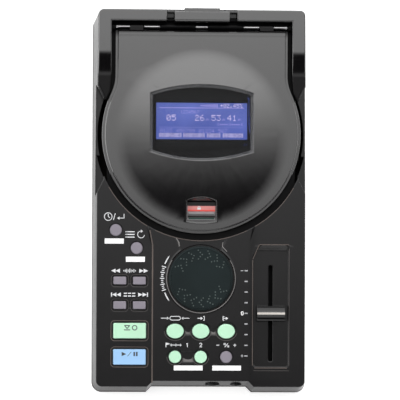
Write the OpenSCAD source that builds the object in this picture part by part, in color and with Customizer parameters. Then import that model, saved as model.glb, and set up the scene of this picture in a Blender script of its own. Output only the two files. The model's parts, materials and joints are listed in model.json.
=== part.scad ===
// Tabletop disc player for mixing music: top-loading lid with a display, jog dial, tempo fader and buttons.
// Millimetres. +X right, +Y to the rear, +Z up. The origin is the middle of the footprint, on the table.
// Features of the sloped top are placed in the panel frame: x across, y up the slope from the front edge,
// z square to the panel, with z = 0 on the panel.

/* [Case] */
// Width of the case at its foot
case_w = 152; // [146:1:170]
// Length of the case at its foot
case_d = 270; // [264:1:300]
// Height of the panel's front edge above the table
front_h = 34; // [32:1:40]
// Slope of the panel, in degrees
slope = 5; // [4:0.5:7]
// Draft of the front and rear walls, in degrees
draft = 4; // [2:0.5:5]
// How far each side wall leans in from the foot to the top of the rear rail
side_in = 3.4; // [2:0.1:4.5]
// Radius of the case corners at the foot
corner_r = 7; // [6:0.5:10]
// Wall of both case shells
wall = 2.5; // [2:0.1:3]
// Height of the joint between the two shells
part_z = 10; // [8:1:11]
// Height of the rubber feet under the case
foot_h = 3; // [2:0.5:5]
// Radius of the rubber feet
foot_r = 7; // [5:0.5:9]
// Depth of the step in the front wall
step_d = 3.85; // [2:0.05:5]
// Half width of the step in the front wall
step_w = 33.6; // [28:0.1:38]
// Rise of the centre panel over the side borders
centre_rise = 0.8; // [0.4:0.1:1.2]
// Width of the bevel along the centre panel
bevel_w = 1.8; // [0.8:0.1:2.4]

/* [Lid] */
// Radius of the lid's round part
lid_r = 67.8; // [66:0.1:69]
// Width of the lid's neck
neck_w = 117.6; // [100:0.1:119]
// Radius of the hollow blend between round part and neck
neck_fillet = 28; // [18:1:36]
// Height of the lid's flat band over the panel
lid_rise = 2.5; // [1.5:0.1:3.5]
// Depth of the lid below the panel
lid_depth = 4.5; // [4:0.1:5]
// Radius of the dome
dome_r = 61.8; // [58:0.1:62.5]
// Rise of the dome over the band
dome_rise = 3.5; // [2:0.1:4.5]
// Distance of the dome's centre in front of the lid's centre
dome_shift = 1.6; // [0:0.1:2]
// Thickness of the lid's skin
lid_skin = 1.8; // [1.2:0.1:2.2]
// How far the lid's lower flange stands out
flange_out = 2.2; // [1:0.1:2.4]
// Height of the lid's lower flange
flange_h = 2.4; // [1.5:0.1:3]
// Gap between the flange and the case
moat = 2.6; // [2:0.1:3.5]
// Radius of the wider cut-out round the front of the lid
moat_r = 74.6; // [73:0.1:76]
// Distance from the hinge axis to the centre of the disc
hinge_reach = 75.7; // [72:0.1:82]
// Distance from the hinge axis to the panel's rear edge
hinge_inset = 12; // [11:0.5:16]
// Depth of the hinge axis below the panel
hinge_drop = 4; // [3.5:0.1:4.5]
// Radius of the hinge pin
pin_r = 1.25; // [1:0.05:1.5]
// Radius of the hinge knuckles
knuckle_r = 2.4; // [2:0.1:2.7]
// Width of the cap over the hinge
cap_w = 38.8; // [30:0.2:44]
// Width of the grooves beside the hinge cap
groove_w = 5.3; // [3:0.1:7]

/* [Display] */
// Width of the window
window_w = 72.4; // [68:0.1:76]
// Height of the window at its sides
window_side = 41.1; // [36:0.1:46]
// Bulge of the window's curved edges
window_bulge = 6.1; // [3:0.1:9]
// Distance of the window's middle behind the disc's centre
window_shift = 8.0; // [6:0.1:10]
// Height of the window's face over the panel
window_z = 3.0; // [2.6:0.1:3.4]
// Thickness of the window
window_t = 1.5; // [1:0.1:1.8]
// Width of the display's lit area
screen_w = 64; // [56:0.5:66]
// Height of the display's lit area
screen_h = 25.7; // [20:0.1:30]
// Distance of the lit area's middle behind the disc's centre
screen_shift = 9.1; // [7:0.1:11]

/* [Disc and drive] */
// Radius of the disc
disc_r = 60; // [60:0.5:60.5]
// Thickness of the disc
disc_t = 1.2; // [1.1:0.1:1.3]
// Radius of the hub pin that takes the disc's hole
hub_pin_r = 7.45; // [7.3:0.05:7.45]
// Radius of the hub flange that carries the disc
hub_flange_r = 15; // [12:0.5:16]
// Depth of the disc's upper face below the panel
disc_drop = 8; // [7.5:0.1:9]
// Depth of the well under the disc
well_depth = 3.3; // [2.5:0.1:4]
// Room round the disc in its well
disc_room = 2.5; // [2:0.1:3]
// Length of the pickup's travel
sled_travel = 33; // [30:0.5:33.5]
// Distance of the lens from the disc's centre at rest
lens_in = 24; // [23:0.5:25]
// Radius of the guide rods
rod_r = 1.5; // [1:0.1:2]
// Module of the drive's gears
gear_m = 0.6; // [0.5:0.05:0.65]
// Teeth of the pinion that drives the rack
small_teeth = 12; // [11:1:14]
// Teeth of the wheel that the motor drives
large_teeth = 36; // [30:1:38]
// Teeth of the motor's pinion
motor_teeth = 12; // [11:1:14]
// Radius of the spindle motor's shaft
spindle_r = 1; // [0.8:0.1:1.5]
// Radius of the sled motor's shaft
sled_shaft_r = 0.8; // [0.6:0.1:1]

/* [Latch] */
// Width of the latch well
latch_w = 21; // [18:0.1:24]
// Length of the latch well at its sides
latch_l = 14.4; // [13:0.1:15]
// Distance of the latch well's middle from the disc's centre
latch_front = 53.5; // [52:0.1:54]
// Travel of the latch slider
latch_travel = 2.2; // [1.8:0.1:2.4]

/* [Jog dial] */
// Radius of the dial
dial_r = 22.6; // [18:0.1:23]
// Distance of the dial's centre from the front edge
dial_y = 75.9; // [74:0.1:80]
// Height of the dial over the centre panel
dial_h = 1.6; // [1:0.1:4]
// Height of the bead round the dial
bead_h = 0.45; // [0.2:0.05:0.8]
// Radius of the dial's shaft
shaft_r = 3; // [2:0.1:4]

/* [Fader] */
// Distance of the fader from the middle of the panel
fader_x = 49.2; // [48:0.1:52]
// Distance of the fader's middle from the front edge
fader_y = 51.6; // [50:0.1:56]
// Full travel of the fader
fader_travel = 60; // [50:1:62]
// Width of the slot
slot_w = 3; // [2.5:0.1:4]
// Width of the recess round the fader
recess_w = 25; // [22:0.1:26]
// Length of the recess round the fader
recess_l = 85.8; // [84:0.1:92]
// Depth of the recess round the fader
recess_d = 3; // [2:0.1:3.5]
// Length of the slope at the rear end of the recess
recess_slope = 3.5; // [1:0.1:5]
// Width of the fader knob
knob_w = 19.8; // [16:0.1:20.5]
// Length of the fader knob
knob_l = 11.4; // [9:0.1:13]
// Height of the fader knob
knob_h = 7; // [5:0.1:9]

/* [Buttons] */
// Diameter of the small round buttons
small_d = 8.2; // [6:0.1:9]
// Width of the search and skip buttons
key_w = 8.9; // [7:0.1:10]
// Length of the search and skip buttons
key_l = 5.4; // [4:0.1:7]
// Width of the cue and play buttons
pad_w = 22.7; // [18:0.1:24]
// Length of the cue and play buttons
pad_l = 10.7; // [8:0.1:12]
// Width of the loop buttons
loop_w = 12; // [9:0.1:13]
// Length of the loop buttons
loop_l = 10.2; // [8:0.1:11]
// How far a button stands over the panel
cap_h = 1.1; // [0.6:0.1:2]
// Travel of a button
press = 0.8; // [0.4:0.1:1]
// Gap round a button
button_gap = 0.3; // [0.2:0.05:0.5]

/* [Sockets and knobs] */
// Height of the front socket and knob above the table
front_axis_z = 17; // [16:0.5:18]
// Distance of the phones socket from the middle
phones_x = 9.2; // [4:0.1:11]
// Radius of the phones socket's bore
phones_bore_r = 3.2; // [3.18:0.01:3.3]
// Radius of the phones socket's collar
phones_r = 4.9; // [4.4:0.1:6]
// Distance of the level knob from the middle
level_x = 25.9; // [21:0.1:27]
// Radius of the level knob
level_r = 3.7; // [3:0.1:5]
// How far the phones socket and the level knob stand out of the step
front_out = 1; // [0.5:0.1:4]
// Height of the rear sockets above the table
rear_axis_z = 30; // [28:0.5:32]
// Depth of the bay in the rear wall that holds the rear sockets
bay_d = 9; // [8.5:0.5:11]
// Distance between the phono sockets
phono_pitch = 14; // [12:0.5:16]
// Radius of a phono socket's sleeve
phono_r = 4.15; // [4.1:0.05:4.2]
// Length of a phono socket's sleeve
phono_l = 8; // [7:0.1:8.2]
// Radius of the power socket's bore
power_bore_r = 2.75; // [2.5:0.05:3]

/* [Hidden] */
$fn = 64;

// Colours
case_black = "#1d1d1f";
border_black = "#232326";
rubber_black = "#182021";
part_grey = "#55565a";
key_grey = "#87828c";
mint = "#c4efcf";
sky = "#a5cdf3";
steel = "#b9bcc0";
board_green = "#1f5a3a";

// Clearances
run_gap = 0.05;  // round a shaft or pin that turns
seat_gap = 0.2;  // round a piece that is seated in another
slide_gap = 0.4;  // beside a piece that slides

// Case and panel
eps = 0.01;
top_z = 72;  // above everything: where the drafted body is cut off
lean = tan(draft);
panel_front_y = -case_d / 2 + (front_h - foot_h) * lean;
panel_len = (case_d - (2 * front_h - 2 * foot_h) * lean) / (cos(slope) + sin(slope) * lean);
hinge_y = panel_len - hinge_inset;
disc_y = hinge_y - hinge_reach;
floor_z = foot_h + wall;

// Lid and cut-out
cut_grow = flange_out + moat;  // from the lid's outline to the case's cut-out
lid_rear = 2.6;  // from the lid's rear edge to the hinge axis
rear_round = 3.5;  // rounding of the lid's rear edge
rail_front = hinge_y + 3.8;  // front face of the rear rail
rail_h = 3.5;  // height of the rear rail over the panel
sill_h = 1;  // height of the sill under the hinge cap
groove_d = 4;  // depth of the grooves beside the cap, below the panel
dome_sphere_r = (dome_r * dome_r + dome_rise * dome_rise) / (2 * dome_rise);
dome_y = disc_y - dome_shift;
deck_z = lid_depth + 0.5;  // depth of the deck round the well
deck_t = 2;
liner_t = 1.5;
well_r = disc_r + disc_room;
well_wall = 2;
well_z = disc_drop + disc_t + well_depth;  // depth of the well's floor
knuckles = [[41.1, 50.8]];  // lid knuckles, from and to, mirrored
pillars = [[4.3, 29.6], [60.5, 63.4]];  // case knuckles, from and to, mirrored
pin_half = 63.4;

// Latch hook and its catch in the deck
latch_y = disc_y - latch_front;
hook_r = lid_r - lid_skin - 0.4;  // from the disc's centre to the hook's front
latch_hook_w = 6;
hook_t = 2.4;
hook_nose = 1;
catch_gap = 0.3;  // between the hook's nose and the lip that it passes
catch_r = hook_r + hook_nose + catch_gap;
slider = [-6.9, 3.2];  // slider, from and to, round the middle of its well
ridge = [-3.6, -1.2];  // its ridge
slider_t = 0.6;
latch_floor = 2.6;  // depth of the latch well under the band
latch_bow = 2.6;  // bulge of the well's rear edge
latch_sag = 1.1;  // bulge of its front edge
latch_back = 6.5;  // from the well's middle to its rear corners
latch_wall = 1.5;

// Finger notches
notch_y = disc_y - 3.9;
notch_out = 38;  // half length at the case's side
notch_in = 27.9;  // half length at the notch's inner wall
notch_x = 68.5;
notch_z = 14;

// Drive
chassis_z = well_z + well_wall + 2;  // depth of the chassis's upper face
chassis_t = 2;
rod_x = 22.5;
rod_z = chassis_z + chassis_t / 2;
sled_l = 20;
chassis_w = 106;
chassis_from = -lens_in - sled_travel - sled_l / 2 - 9;  // front and rear edge, from the disc's centre
chassis_to = 29;
rod_from = chassis_from + 1;
rod_to = -lens_in + sled_l / 2 + 6;
post_r = 1;
ball_r = 0.9;
board_x = -case_w / 2 + wall + 5.5;  // panel board's left edge
ball_up = 0.2;  // balls' middles over the disc's face
damper_r = 4;
window_half = 17;  // half width of the well's window for the pickup
tower_w = 18;  // width of the sled's tower for the lens
tower_front = 3.8;  // from the lens to the tower's front
gear_z = chassis_z + chassis_t + 0.5;  // depth of the rack and of the pinion on it
gear_t = 2;
gear_step = 0.3;
rack_x = 27;  // pitch line of the rack
backlash = 0.12;
addendum = 0.65 * gear_m;  // short teeth, as few-toothed pinions need
dedendum = gear_m;
pressure = 20;
small_r = gear_m * small_teeth / 2;
large_r = gear_m * large_teeth / 2;
motor_r = gear_m * motor_teeth / 2;
gear_x = rack_x + small_r;
gear_y = disc_y - 42;
motor_turn = 40;  // direction from the gear to the motor, in degrees
sled_motor_x = gear_x + (large_r + motor_r) * cos(motor_turn);
sled_motor_y = gear_y + (large_r + motor_r) * sin(motor_turn);

// Panel controls: place on the panel, size, round or square
ROUND = 0;
SQUARE = 1;
time_at = [[-59.9, 109.6], [small_d, small_d], ROUND];
mode_at = [[-45.2, 97.0], [small_d, small_d], ROUND];
search_back_at = [[-56.9, 74.2], [key_w, key_l], SQUARE];
search_forward_at = [[-43.2, 74.2], [key_w, key_l], SQUARE];
skip_back_at = [[-56.9, 57.0], [key_w, key_l], SQUARE];
skip_forward_at = [[-43.2, 57.0], [key_w, key_l], SQUARE];
cue_at = [[-49.9, 39.1], [pad_w, pad_l], SQUARE];
play_at = [[-49.9, 20.7], [pad_w, pad_l], SQUARE];
reloop_at = [[-18.0, 39.0], [loop_w, loop_l], ROUND];
loop_in_at = [[0, 39.0], [loop_w, loop_l], ROUND];
loop_out_at = [[17.9, 39.0], [loop_w, loop_l], ROUND];
hot_cue_1_at = [[-18.0, 20.9], [small_d + 0.3, small_d + 0.3], ROUND];
hot_cue_2_at = [[0, 20.9], [small_d + 0.3, small_d + 0.3], ROUND];
tempo_at = [[17.9, 20.9], [small_d, small_d], ROUND];
BUTTONS = [time_at, mode_at, search_back_at, search_forward_at, skip_back_at, skip_forward_at, cue_at,
    play_at, reloop_at, loop_in_at, loop_out_at, hot_cue_1_at, hot_cue_2_at, tempo_at];
cap_corner = 0.8;
collar = 0.9;  // ledge that keeps a button in its hole
collar_t = 1.2;
stem_l = 0.8;
collar_gap = 0.1;
board_z = 9.5;  // depth of the panel board
board_t = 1.6;
switch_w = 6;
switch_h = 3.2;
dish_d = 0.7;  // depth of the dishes round the buttons
dial_gap = 0.9;  // between the dial and the bead round it
recess_up = 5;  // from the fader's middle to the middle of its recess

// Front connectors
knob_shaft_r = 1.5;
front_face = case_d / 2 - step_d - (front_axis_z - foot_h) * lean;  // the step's wall behind the front sockets

// Rear connectors
plate_w = 112;
plate_h = 22;
plate_t = 1.5;
plate_y = case_d / 2 - (rear_axis_z + plate_h / 2 - foot_h) * lean - bay_d - plate_t;  // its inner face
bay_wall = 2;
switch_x = 40;
power_x = 18;
phono_x = -46;
rocker_w = 13;
rocker_h = 9;
rocker_pin_r = 0.8;
rocker_in = 2;  // depth of the rocker's axis behind the plate's face
neck_gap = 0.5;  // between a phono sleeve and the plate
neck_in = 0.5;  // how much thinner a phono socket is inside the plate

// ---------------------------------------------------------------- helpers

module on_panel() {
    translate([0, panel_front_y, front_h])
        rotate([slope, 0, 0])
            children();
}

module mirrored() {
    children();
    mirror([1, 0, 0])
        children();
}

module rounded_rect(w, d, r) {
    square([w - 2 * r, d], center = true);
    square([w, d - 2 * r], center = true);
    for (x = [-1, 1])
        for (y = [-1, 1])
            translate([x * (w / 2 - r), y * (d / 2 - r)])
                circle(r);
}

// A slab in the panel frame from depth `from` up to `to`
module slab(from, to) {
    translate([0, 0, from])
        linear_extrude(to - from)
            children();
}

// A bar along x with a profile drawn in y and z
module along_x(from, to) {
    translate([from, 0, 0])
        rotate([90, 0, 90])
            linear_extrude(to - from)
                children();
}

// The body of the case, from the foot to a level above the rear rail, drawn in by `inset`
module case_body(inset) {
    reach = 8;
    front = reach * (sin(slope) + cos(slope) * lean) / (cos(slope) - sin(slope) * lean);
    rear = panel_len + reach * (sin(slope) - cos(slope) * lean) / (cos(slope) + sin(slope) * lean);
    hull() {
        translate([0, 0, foot_h])
            linear_extrude(eps)
                rounded_rect(case_w - 2 * inset, case_d - 2 * inset, max(corner_r - inset, 1), $fn = 32);
        on_panel()
            translate([0, (front + rear) / 2, reach])
                linear_extrude(eps)
                    rounded_rect(case_w - 2 * side_in - 2 * inset, rear - front - 2 * inset,
                        max(corner_r - side_in - inset, 1), $fn = 32);
    }
}

// The step in the front wall, drawn back by `inset`
module front_step(inset) {
    reach = 6;
    out = step_w + step_d + reach;
    translate([0, -case_d / 2, foot_h])
        rotate([-draft, 0, 0])
            translate([0, 0, -20])
                linear_extrude(80)
                    polygon([[-out - inset, -reach], [out + inset, -reach],
                        [step_w + inset * 0.4, step_d + inset], [-step_w - inset * 0.4, step_d + inset]]);
}

module below_panel(level) {
    on_panel()
        translate([-case_w, -case_d, level - 200])
            cube([2 * case_w, 3 * case_d, 200]);
}

// Outline of the lid round the disc's centre, grown by `grow`, with the neck ending at `rear`
module keyhole(grow, rear) {
    r = lid_r + grow;
    half = neck_w / 2 + grow;
    blend = neck_fillet - grow;
    blend_x = half + blend;
    blend_y = sqrt((r + blend) * (r + blend) - blend_x * blend_x);
    touch = r / (r + blend);
    circle(r);
    difference() {
        polygon([[0, 0], [blend_x * touch, blend_y * touch], [half, blend_y], [half, rear],
            [-half, rear], [-half, blend_y], [-blend_x * touch, blend_y * touch]]);
        for (side = [-1, 1])
            translate([side * blend_x, blend_y])
                circle(blend + 0.003);
    }
}

// Outline of the case's cut-out round the lid, grown by `grow`: wider round the lid's front
module lid_cut(grow, rear) {
    keyhole(cut_grow + grow, rear);
    intersection() {
        circle(moat_r + grow);
        translate([-case_w, -case_w - 15])
            square([2 * case_w, case_w]);
    }
}

// Outline of the display window, grown by `grow`
module barrel(grow) {
    half = window_w / 2;
    bow = (half * half + window_bulge * window_bulge) / (2 * window_bulge);
    tip = window_side / 2 + window_bulge;
    intersection() {
        square([window_w + 2 * grow, 2 * tip + 2 * grow], center = true);
        translate([0, tip - bow])
            circle(bow + grow, $fn = 128);
        translate([0, bow - tip])
            circle(bow + grow, $fn = 128);
    }
}

module cap_shape(at, grow) {
    w = at[1][0] + 2 * grow;
    d = at[1][1] + 2 * grow;
    if (at[2] == ROUND)
        scale([1, d / w])
            circle(d = w);
    else
        rounded_rect(w, d, cap_corner + max(grow, 0));
}

function panel_top(x) = abs(x) < step_w ? centre_rise : 0;

// ---------------------------------------------------------------- case

module notch_outline(grow) {
    out = case_w / 2 + 4;
    run = (notch_out - notch_in) / (case_w / 2 - 2.5 - notch_x);
    long = notch_in + run * (out - notch_x);
    translate([0, notch_y])
        polygon([[notch_x - grow, -notch_in - grow], [out, -long - grow],
            [out, long + grow], [notch_x - grow, notch_in + grow]]);
}

module fader_recess(grow) {
    translate([fader_x, fader_y + recess_up])
        offset(r = 2 + grow, $fn = 24)
            offset(delta = -2)
                polygon([[-recess_w / 2, 2 - recess_l / 2], [2 - recess_w / 2, -recess_l / 2],
                    [recess_w / 2, -recess_l / 2], [recess_w / 2, recess_l / 2],
                    [5 - recess_w / 2, recess_l / 2], [-recess_w / 2, recess_l / 2 - 8]]);
}

module fader_cut() {
    end = fader_y + recess_up + recess_l / 2;
    intersection() {
        slab(-recess_d, 10)
            fader_recess(0);
        along_x(0, case_w)
            polygon([[0, -recess_d], [end - recess_slope, -recess_d], [end, 0], [end, 10], [0, 10]]);
    }
}

// The raised bead round the dial
module dial_bead() {
    inner = dial_r + dial_gap;
    translate([0, dial_y, centre_rise])
        rotate_extrude()
            polygon([[inner, -0.5], [inner, 0], [inner + 0.4, bead_h], [inner + 0.8, bead_h], [inner + 1.3, 0],
                [inner + 1.3, -0.5]]);
}

module centre_panel() {
    flare = 3.6;
    flare_from = disc_y - 78;
    flare_to = disc_y - 60;
    for (part = [[[step_w, -2], [step_w, flare_from]], [[step_w, flare_from], [step_w + flare, flare_to]]])
        hull()
            for (level = [[bevel_w, -1], [0, centre_rise - eps]])
                translate([0, 0, level[1]])
                    linear_extrude(level[1] < 0 ? 1 : eps)
                        polygon([[-part[0][0] - level[0], part[0][1]], [part[0][0] + level[0], part[0][1]],
                            [part[1][0] + level[0], part[1][1]], [-part[1][0] - level[0], part[1][1]]]);
}

module top_cover() {
    color(case_black)
        difference() {
            union() {
                difference() {
                    intersection() {
                        case_body(0);
                        below_panel(0);
                        translate([-case_w, -case_d, part_z])
                            cube([2 * case_w, 2 * case_d, top_z]);
                    }
                    difference() {
                        intersection() {
                            case_body(wall);
                            below_panel(-wall);
                        }
                        front_step(wall);
                    }
                }
                intersection() {
                    case_body(0.3);
                    rear_bay(bay_wall, plate_y);
                }
                intersection() {
                    case_body(0.3);
                    on_panel() {
                        centre_panel();
                        dial_bead();
                        translate([0, disc_y])
                            slab(-deck_z, 0)
                                lid_cut(2, rail_front - disc_y);
                        mirrored() {
                            slab(-notch_z - 2, 0)
                                notch_outline(2);
                            translate([cap_w / 2 - 2, rail_front + 2.4])
                                slab(-groove_d - 2, 0)
                                    square([groove_w + 4, panel_len - 1 - rail_front - 2.4]);
                        }
                        slab(-recess_d - 2, 0)
                            fader_recess(2);
                    }
                }
            }
            front_step(0);
            on_panel() {
                translate([0, disc_y])
                    slab(-30, 10)
                        lid_cut(0, rail_front - disc_y);
                mirrored() {
                    slab(-notch_z, 10)
                        notch_outline(0);
                    translate([cap_w / 2, rail_front - 1])
                        slab(-groove_d, 10)
                            square([groove_w, panel_len - 1.2 - rail_front]);
                }
                fader_cut();
                translate([fader_x, fader_y])
                    slab(-10, 10)
                        rounded_rect(slot_w, fader_travel + 7.6, slot_w / 2 - eps);
                translate([0, dial_y])
                    slab(-10, 10)
                        circle(dial_r + dial_gap);
                slab(centre_rise - 1.3, 10)
                    polygon([[-12.4, dial_y + 16], [12.4, dial_y + 16], [19.4, dial_y + 32],
                        [-19.4, dial_y + 32]]);
                for (at = BUTTONS)
                    translate(at[0])
                        slab(-10, 10)
                            cap_shape(at, button_gap);
                dishes();
            }
            front_holes();
            rear_bay(0, plate_y - 1);
        }
}

// Shallow dishes round the buttons and the channels that join them
module dishes() {
    for (at = [cue_at, play_at, search_back_at, search_forward_at, skip_back_at, skip_forward_at])
        translate(at[0])
            slab(-dish_d, 10)
                cap_shape(at, 1.4);
    for (y = [search_back_at[0][1], skip_back_at[0][1]])
        translate([(search_back_at[0][0] + search_forward_at[0][0]) / 2, y])
            slab(-dish_d, 10)
                square([key_w, key_l - 1.6], center = true);
    for (at = [reloop_at, loop_in_at, loop_out_at, hot_cue_1_at, hot_cue_2_at])
        translate(at[0])
            slab(centre_rise - dish_d, 10)
                cap_shape(at, 1.1);
    translate([reloop_at[0][0], reloop_at[0][1] - 2.6])
        slab(centre_rise - dish_d, 10)
            square([loop_out_at[0][0] - reloop_at[0][0], 5.2]);
    translate([hot_cue_1_at[0][0], hot_cue_1_at[0][1] - 3.6])
        slab(centre_rise - dish_d, 10)
            square([hot_cue_2_at[0][0] - hot_cue_1_at[0][0], 7.2]);
}

module front_holes() {
    for (hole = [[phones_x, phones_r + seat_gap], [level_x, level_r + slide_gap]])
        translate([hole[0], -case_d / 2 - 5, front_axis_z])
            rotate([-90, 0, 0])
                cylinder(r = hole[1], h = 20);
}

// The bay in the rear wall, grown by `grow`, from the connector plate outwards
module rear_bay(grow, from) {
    translate([0, from, rear_axis_z])
        rotate([-90, 0, 0])
            linear_extrude(case_d / 2 - from + 1)
                rounded_rect(plate_w + 2 * grow, plate_h + 2 * grow, 2 + grow);
}

module bottom_case() {
    color(border_black)
        difference() {
            union() {
                difference() {
                    intersection() {
                        case_body(0);
                        translate([-case_w, -case_d, 0])
                            cube([2 * case_w, 2 * case_d, part_z]);
                    }
                    difference() {
                        translate([0, 0, wall])
                            case_body(wall);
                        front_step(wall);
                    }
                }
                mech_posts();
                for (at = screw_places)
                    translate([at[0], at[1], foot_h + eps])
                        cylinder(r = 3.5, h = 9);
            }
            front_step(0);
            for (at = screw_places)
                translate([at[0], at[1], 0]) {
                    cylinder(r = 1.6, h = 30);
                    cylinder(r = 3.2, h = foot_h + 1.8);
                }
            for (at = foot_places)
                translate([at[0], at[1], 0])
                    cylinder(r = foot_r + seat_gap, h = foot_h + 0.8);
            for (row = [-3:3])
                translate([row * 9, 30, 0])
                    slab(0, 10)
                        rounded_rect(3, 36, 1.4);
        }
}

screw_places = [for (x = [-1, 1]) for (y = [-1, 0.1, 1]) [x * (case_w / 2 - 10), y * (case_d / 2 - 24)]];
foot_places = [for (x = [-1, 1]) for (y = [-1, 1]) [x * (case_w / 2 - 20), y * (case_d / 2 - 42)]];
damper_places = [for (x = [-1, 1]) for (y = [-62, 22]) [x * 46, disc_y + y]];

module mech_posts() {
    intersection() {
        on_panel()
            for (at = damper_places)
                translate([at[0], at[1], -70])
                    cylinder(r = 3, h = 70 - chassis_z - chassis_t - 4);
        translate([-case_w, -case_d, foot_h + eps])
            cube([2 * case_w, 2 * case_d, 60]);
    }
}

// Side profile of the rear frame: flat rail, bend, long slope to the tips
module frame_profile() {
    tip = disc_y + 23.3;
    bend = [disc_y + 41.5, disc_y + 58.5];
    steps = 12;
    polygon(concat([[rail_front + 20, 0], [tip - 3, 0], [tip - 3, 0.9], [bend[0], 1.3]],
        [for (i = [1:steps]) [bend[0] + (bend[1] - bend[0]) * i / steps,
            1.3 + (rail_h - 1.3) * (1 - cos(180 * i / steps)) / 2]],
        [[rail_front + 20, rail_h]]));
}

// Plan of the rear frame: rail and two pointed legs
module frame_plan() {
    inner = neck_w / 2 + cut_grow;
    leg_tip = [67.3, disc_y + 23.3];
    outer = case_w / 2;
    mirrored() {
        polygon([[leg_tip[0], leg_tip[1]], [leg_tip[0] + 5.6, leg_tip[1] + 11.2], [outer, leg_tip[1] + 22],
            [outer, panel_len + 2], [cap_w / 2 + groove_w, panel_len + 2],
            [cap_w / 2 + groove_w, rail_front + 0.2], [inner, rail_front + 0.2],
            [inner, leg_tip[1] + 18], [inner + 0.9, leg_tip[1] + 6.5]]);
    }
}

// The low sill that joins both halves of the rail under the hinge cap
module rail_sill() {
    bridge = 2;
    slab(0, sill_h) {
        translate([-cap_w / 2, rail_front + 0.2])
            square([cap_w, panel_len - rail_front + 1]);
        translate([-cap_w / 2 - groove_w - eps, panel_len - bridge])
            square([cap_w + 2 * groove_w + 2 * eps, bridge + 1]);
    }
}

module rear_frame() {
    color(case_black)
        intersection() {
            case_body(0.2);
            on_panel() {
                rail_sill();
                intersection() {
                    slab(0, 10)
                        frame_plan();
                    along_x(-case_w, case_w)
                        frame_profile();
                }
            }
        }
}

module hinge_cap() {
    color(case_black)
        intersection() {
            case_body(0.2);
            on_panel()
                along_x(-cap_w / 2, cap_w / 2)
                    polygon([[rail_front - 0.9, 2.2], [rail_front + 0.4, rail_h + 0.3],
                        [panel_len - 1.5, rail_h + 0.3], [panel_len - 1.5, sill_h], [rail_front, sill_h],
                        [rail_front, -1.5], [rail_front - 0.9, -1.5]]);
        }
}

module rear_hook() {
    color(case_black)
        on_panel()
            along_x(-12.5, 12.5)
                polygon([[panel_len - 1.5, sill_h], [panel_len - 1.5, 3], [panel_len + 0.9, 3],
                    [panel_len + 0.9, -4], [panel_len + 0.5, -4], [panel_len + 0.3, sill_h]]);
}

// ---------------------------------------------------------------- disc well and hinge

module knuckle(from, to, foot_z) {
    along_x(from, to)
        difference() {
            union() {
                translate([hinge_y, -hinge_drop])
                    circle(knuckle_r);
                translate([hinge_y - knuckle_r, foot_z])
                    square([2 * knuckle_r, -hinge_drop - foot_z]);
            }
            translate([hinge_y, -hinge_drop])
                circle(pin_r);
        }
}

module disc_well() {
    trench_z = hinge_drop + knuckle_r + 1.5;
    trench_y = hinge_y - 7;
    color(border_black)
        on_panel()
            difference() {
                union() {
                    intersection() {
                        translate([0, disc_y])
                            slab(-deck_z - deck_t, -deck_z)
                                lid_cut(2, trench_y - disc_y + deck_t);
                        translate([-66.2, 0, -50])
                            cube([132.4, 400, 50]);
                    }
                    translate([0, disc_y, -well_z - well_wall])
                        cylinder(r = well_r + well_wall, h = well_z + well_wall - deck_z);
                    along_x(-63.4, 63.4)
                        polygon([[trench_y, -deck_z], [trench_y, -trench_z - deck_t],
                            [rail_front + 2.2, -trench_z - deck_t], [rail_front + 2.2, -wall - 0.2],
                            [rail_front + 0.4, -wall - 0.2], [rail_front + 0.4, -trench_z],
                            [trench_y + deck_t, -trench_z], [trench_y + deck_t, -deck_z]]);
                    mirrored()
                        for (p = pillars)
                            knuckle(p[0], p[1], -trench_z - eps);
                }
                translate([0, disc_y, -well_z])
                    cylinder(r = well_r, h = 40);
                translate([0, disc_y, -40])
                    cylinder(r = hub_flange_r + 1.5, h = 40);
                translate([0, disc_y, -40])
                    intersection() {
                        cylinder(r = well_r - 0.5, h = 40);
                        translate([-window_half, -lens_in - sled_travel - tower_front - 1, 0])
                            cube([2 * window_half, lens_in + sled_travel + tower_front + 1, 40]);
                    }
                translate([-latch_hook_w / 2 - 1, disc_y - catch_r, -deck_z - 5])
                    cube([latch_hook_w + 2, catch_r - well_r + 6, 10]);
            }
}

module hinge_pin() {
    color(steel)
        on_panel()
            translate([-pin_half, hinge_y, -hinge_drop])
                rotate([0, 90, 0])
                    cylinder(r = pin_r, h = 2 * pin_half);
}

// ---------------------------------------------------------------- drive

module mech_chassis() {
    color(steel)
        on_panel()
            difference() {
                union() {
                    translate([-chassis_w / 2, disc_y + chassis_from])
                        slab(-chassis_z - chassis_t, -chassis_z)
                            square([chassis_w, chassis_to - chassis_from]);
                    translate([gear_x, gear_y, -gear_z - 2 * gear_t - gear_step - 0.6])
                        cylinder(r = post_r, h = gear_z + 2 * gear_t + gear_step + 0.6 - chassis_z);
                }
                translate([-rod_x - 3.5, disc_y - lens_in - sled_travel - sled_l / 2 - 1, -60])
                    cube([2 * rod_x + 7, sled_l + sled_travel + 2, 60]);
                translate([0, disc_y, -60])
                    cylinder(r = 5, h = 60);
                for (at = damper_places)
                    translate([at[0], at[1], -60])
                        cylinder(r = damper_r + run_gap, h = 60);
                for (side = [-1, 1])
                    translate([side * rod_x, disc_y + rod_from, -rod_z])
                        rotate([-90, 0, 0])
                            cylinder(r = rod_r, h = rod_to - rod_from);
            }
}

module guide_rods() {
    color(steel)
        on_panel()
            for (side = [-1, 1])
                translate([side * rod_x, disc_y + rod_from, -rod_z])
                    rotate([-90, 0, 0])
                        cylinder(r = rod_r, h = rod_to - rod_from);
}

module spindle_motor() {
    color(steel)
        on_panel()
            translate([0, disc_y]) {
                translate([0, 0, -chassis_z - chassis_t - 7])
                    cylinder(r = 11, h = 7);
                translate([0, 0, -chassis_z - chassis_t])
                    cylinder(r = 4, h = chassis_t + 0.6);
                translate([0, 0, -chassis_z - 0.5])
                    cylinder(r = spindle_r, h = 4);
            }
}

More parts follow.
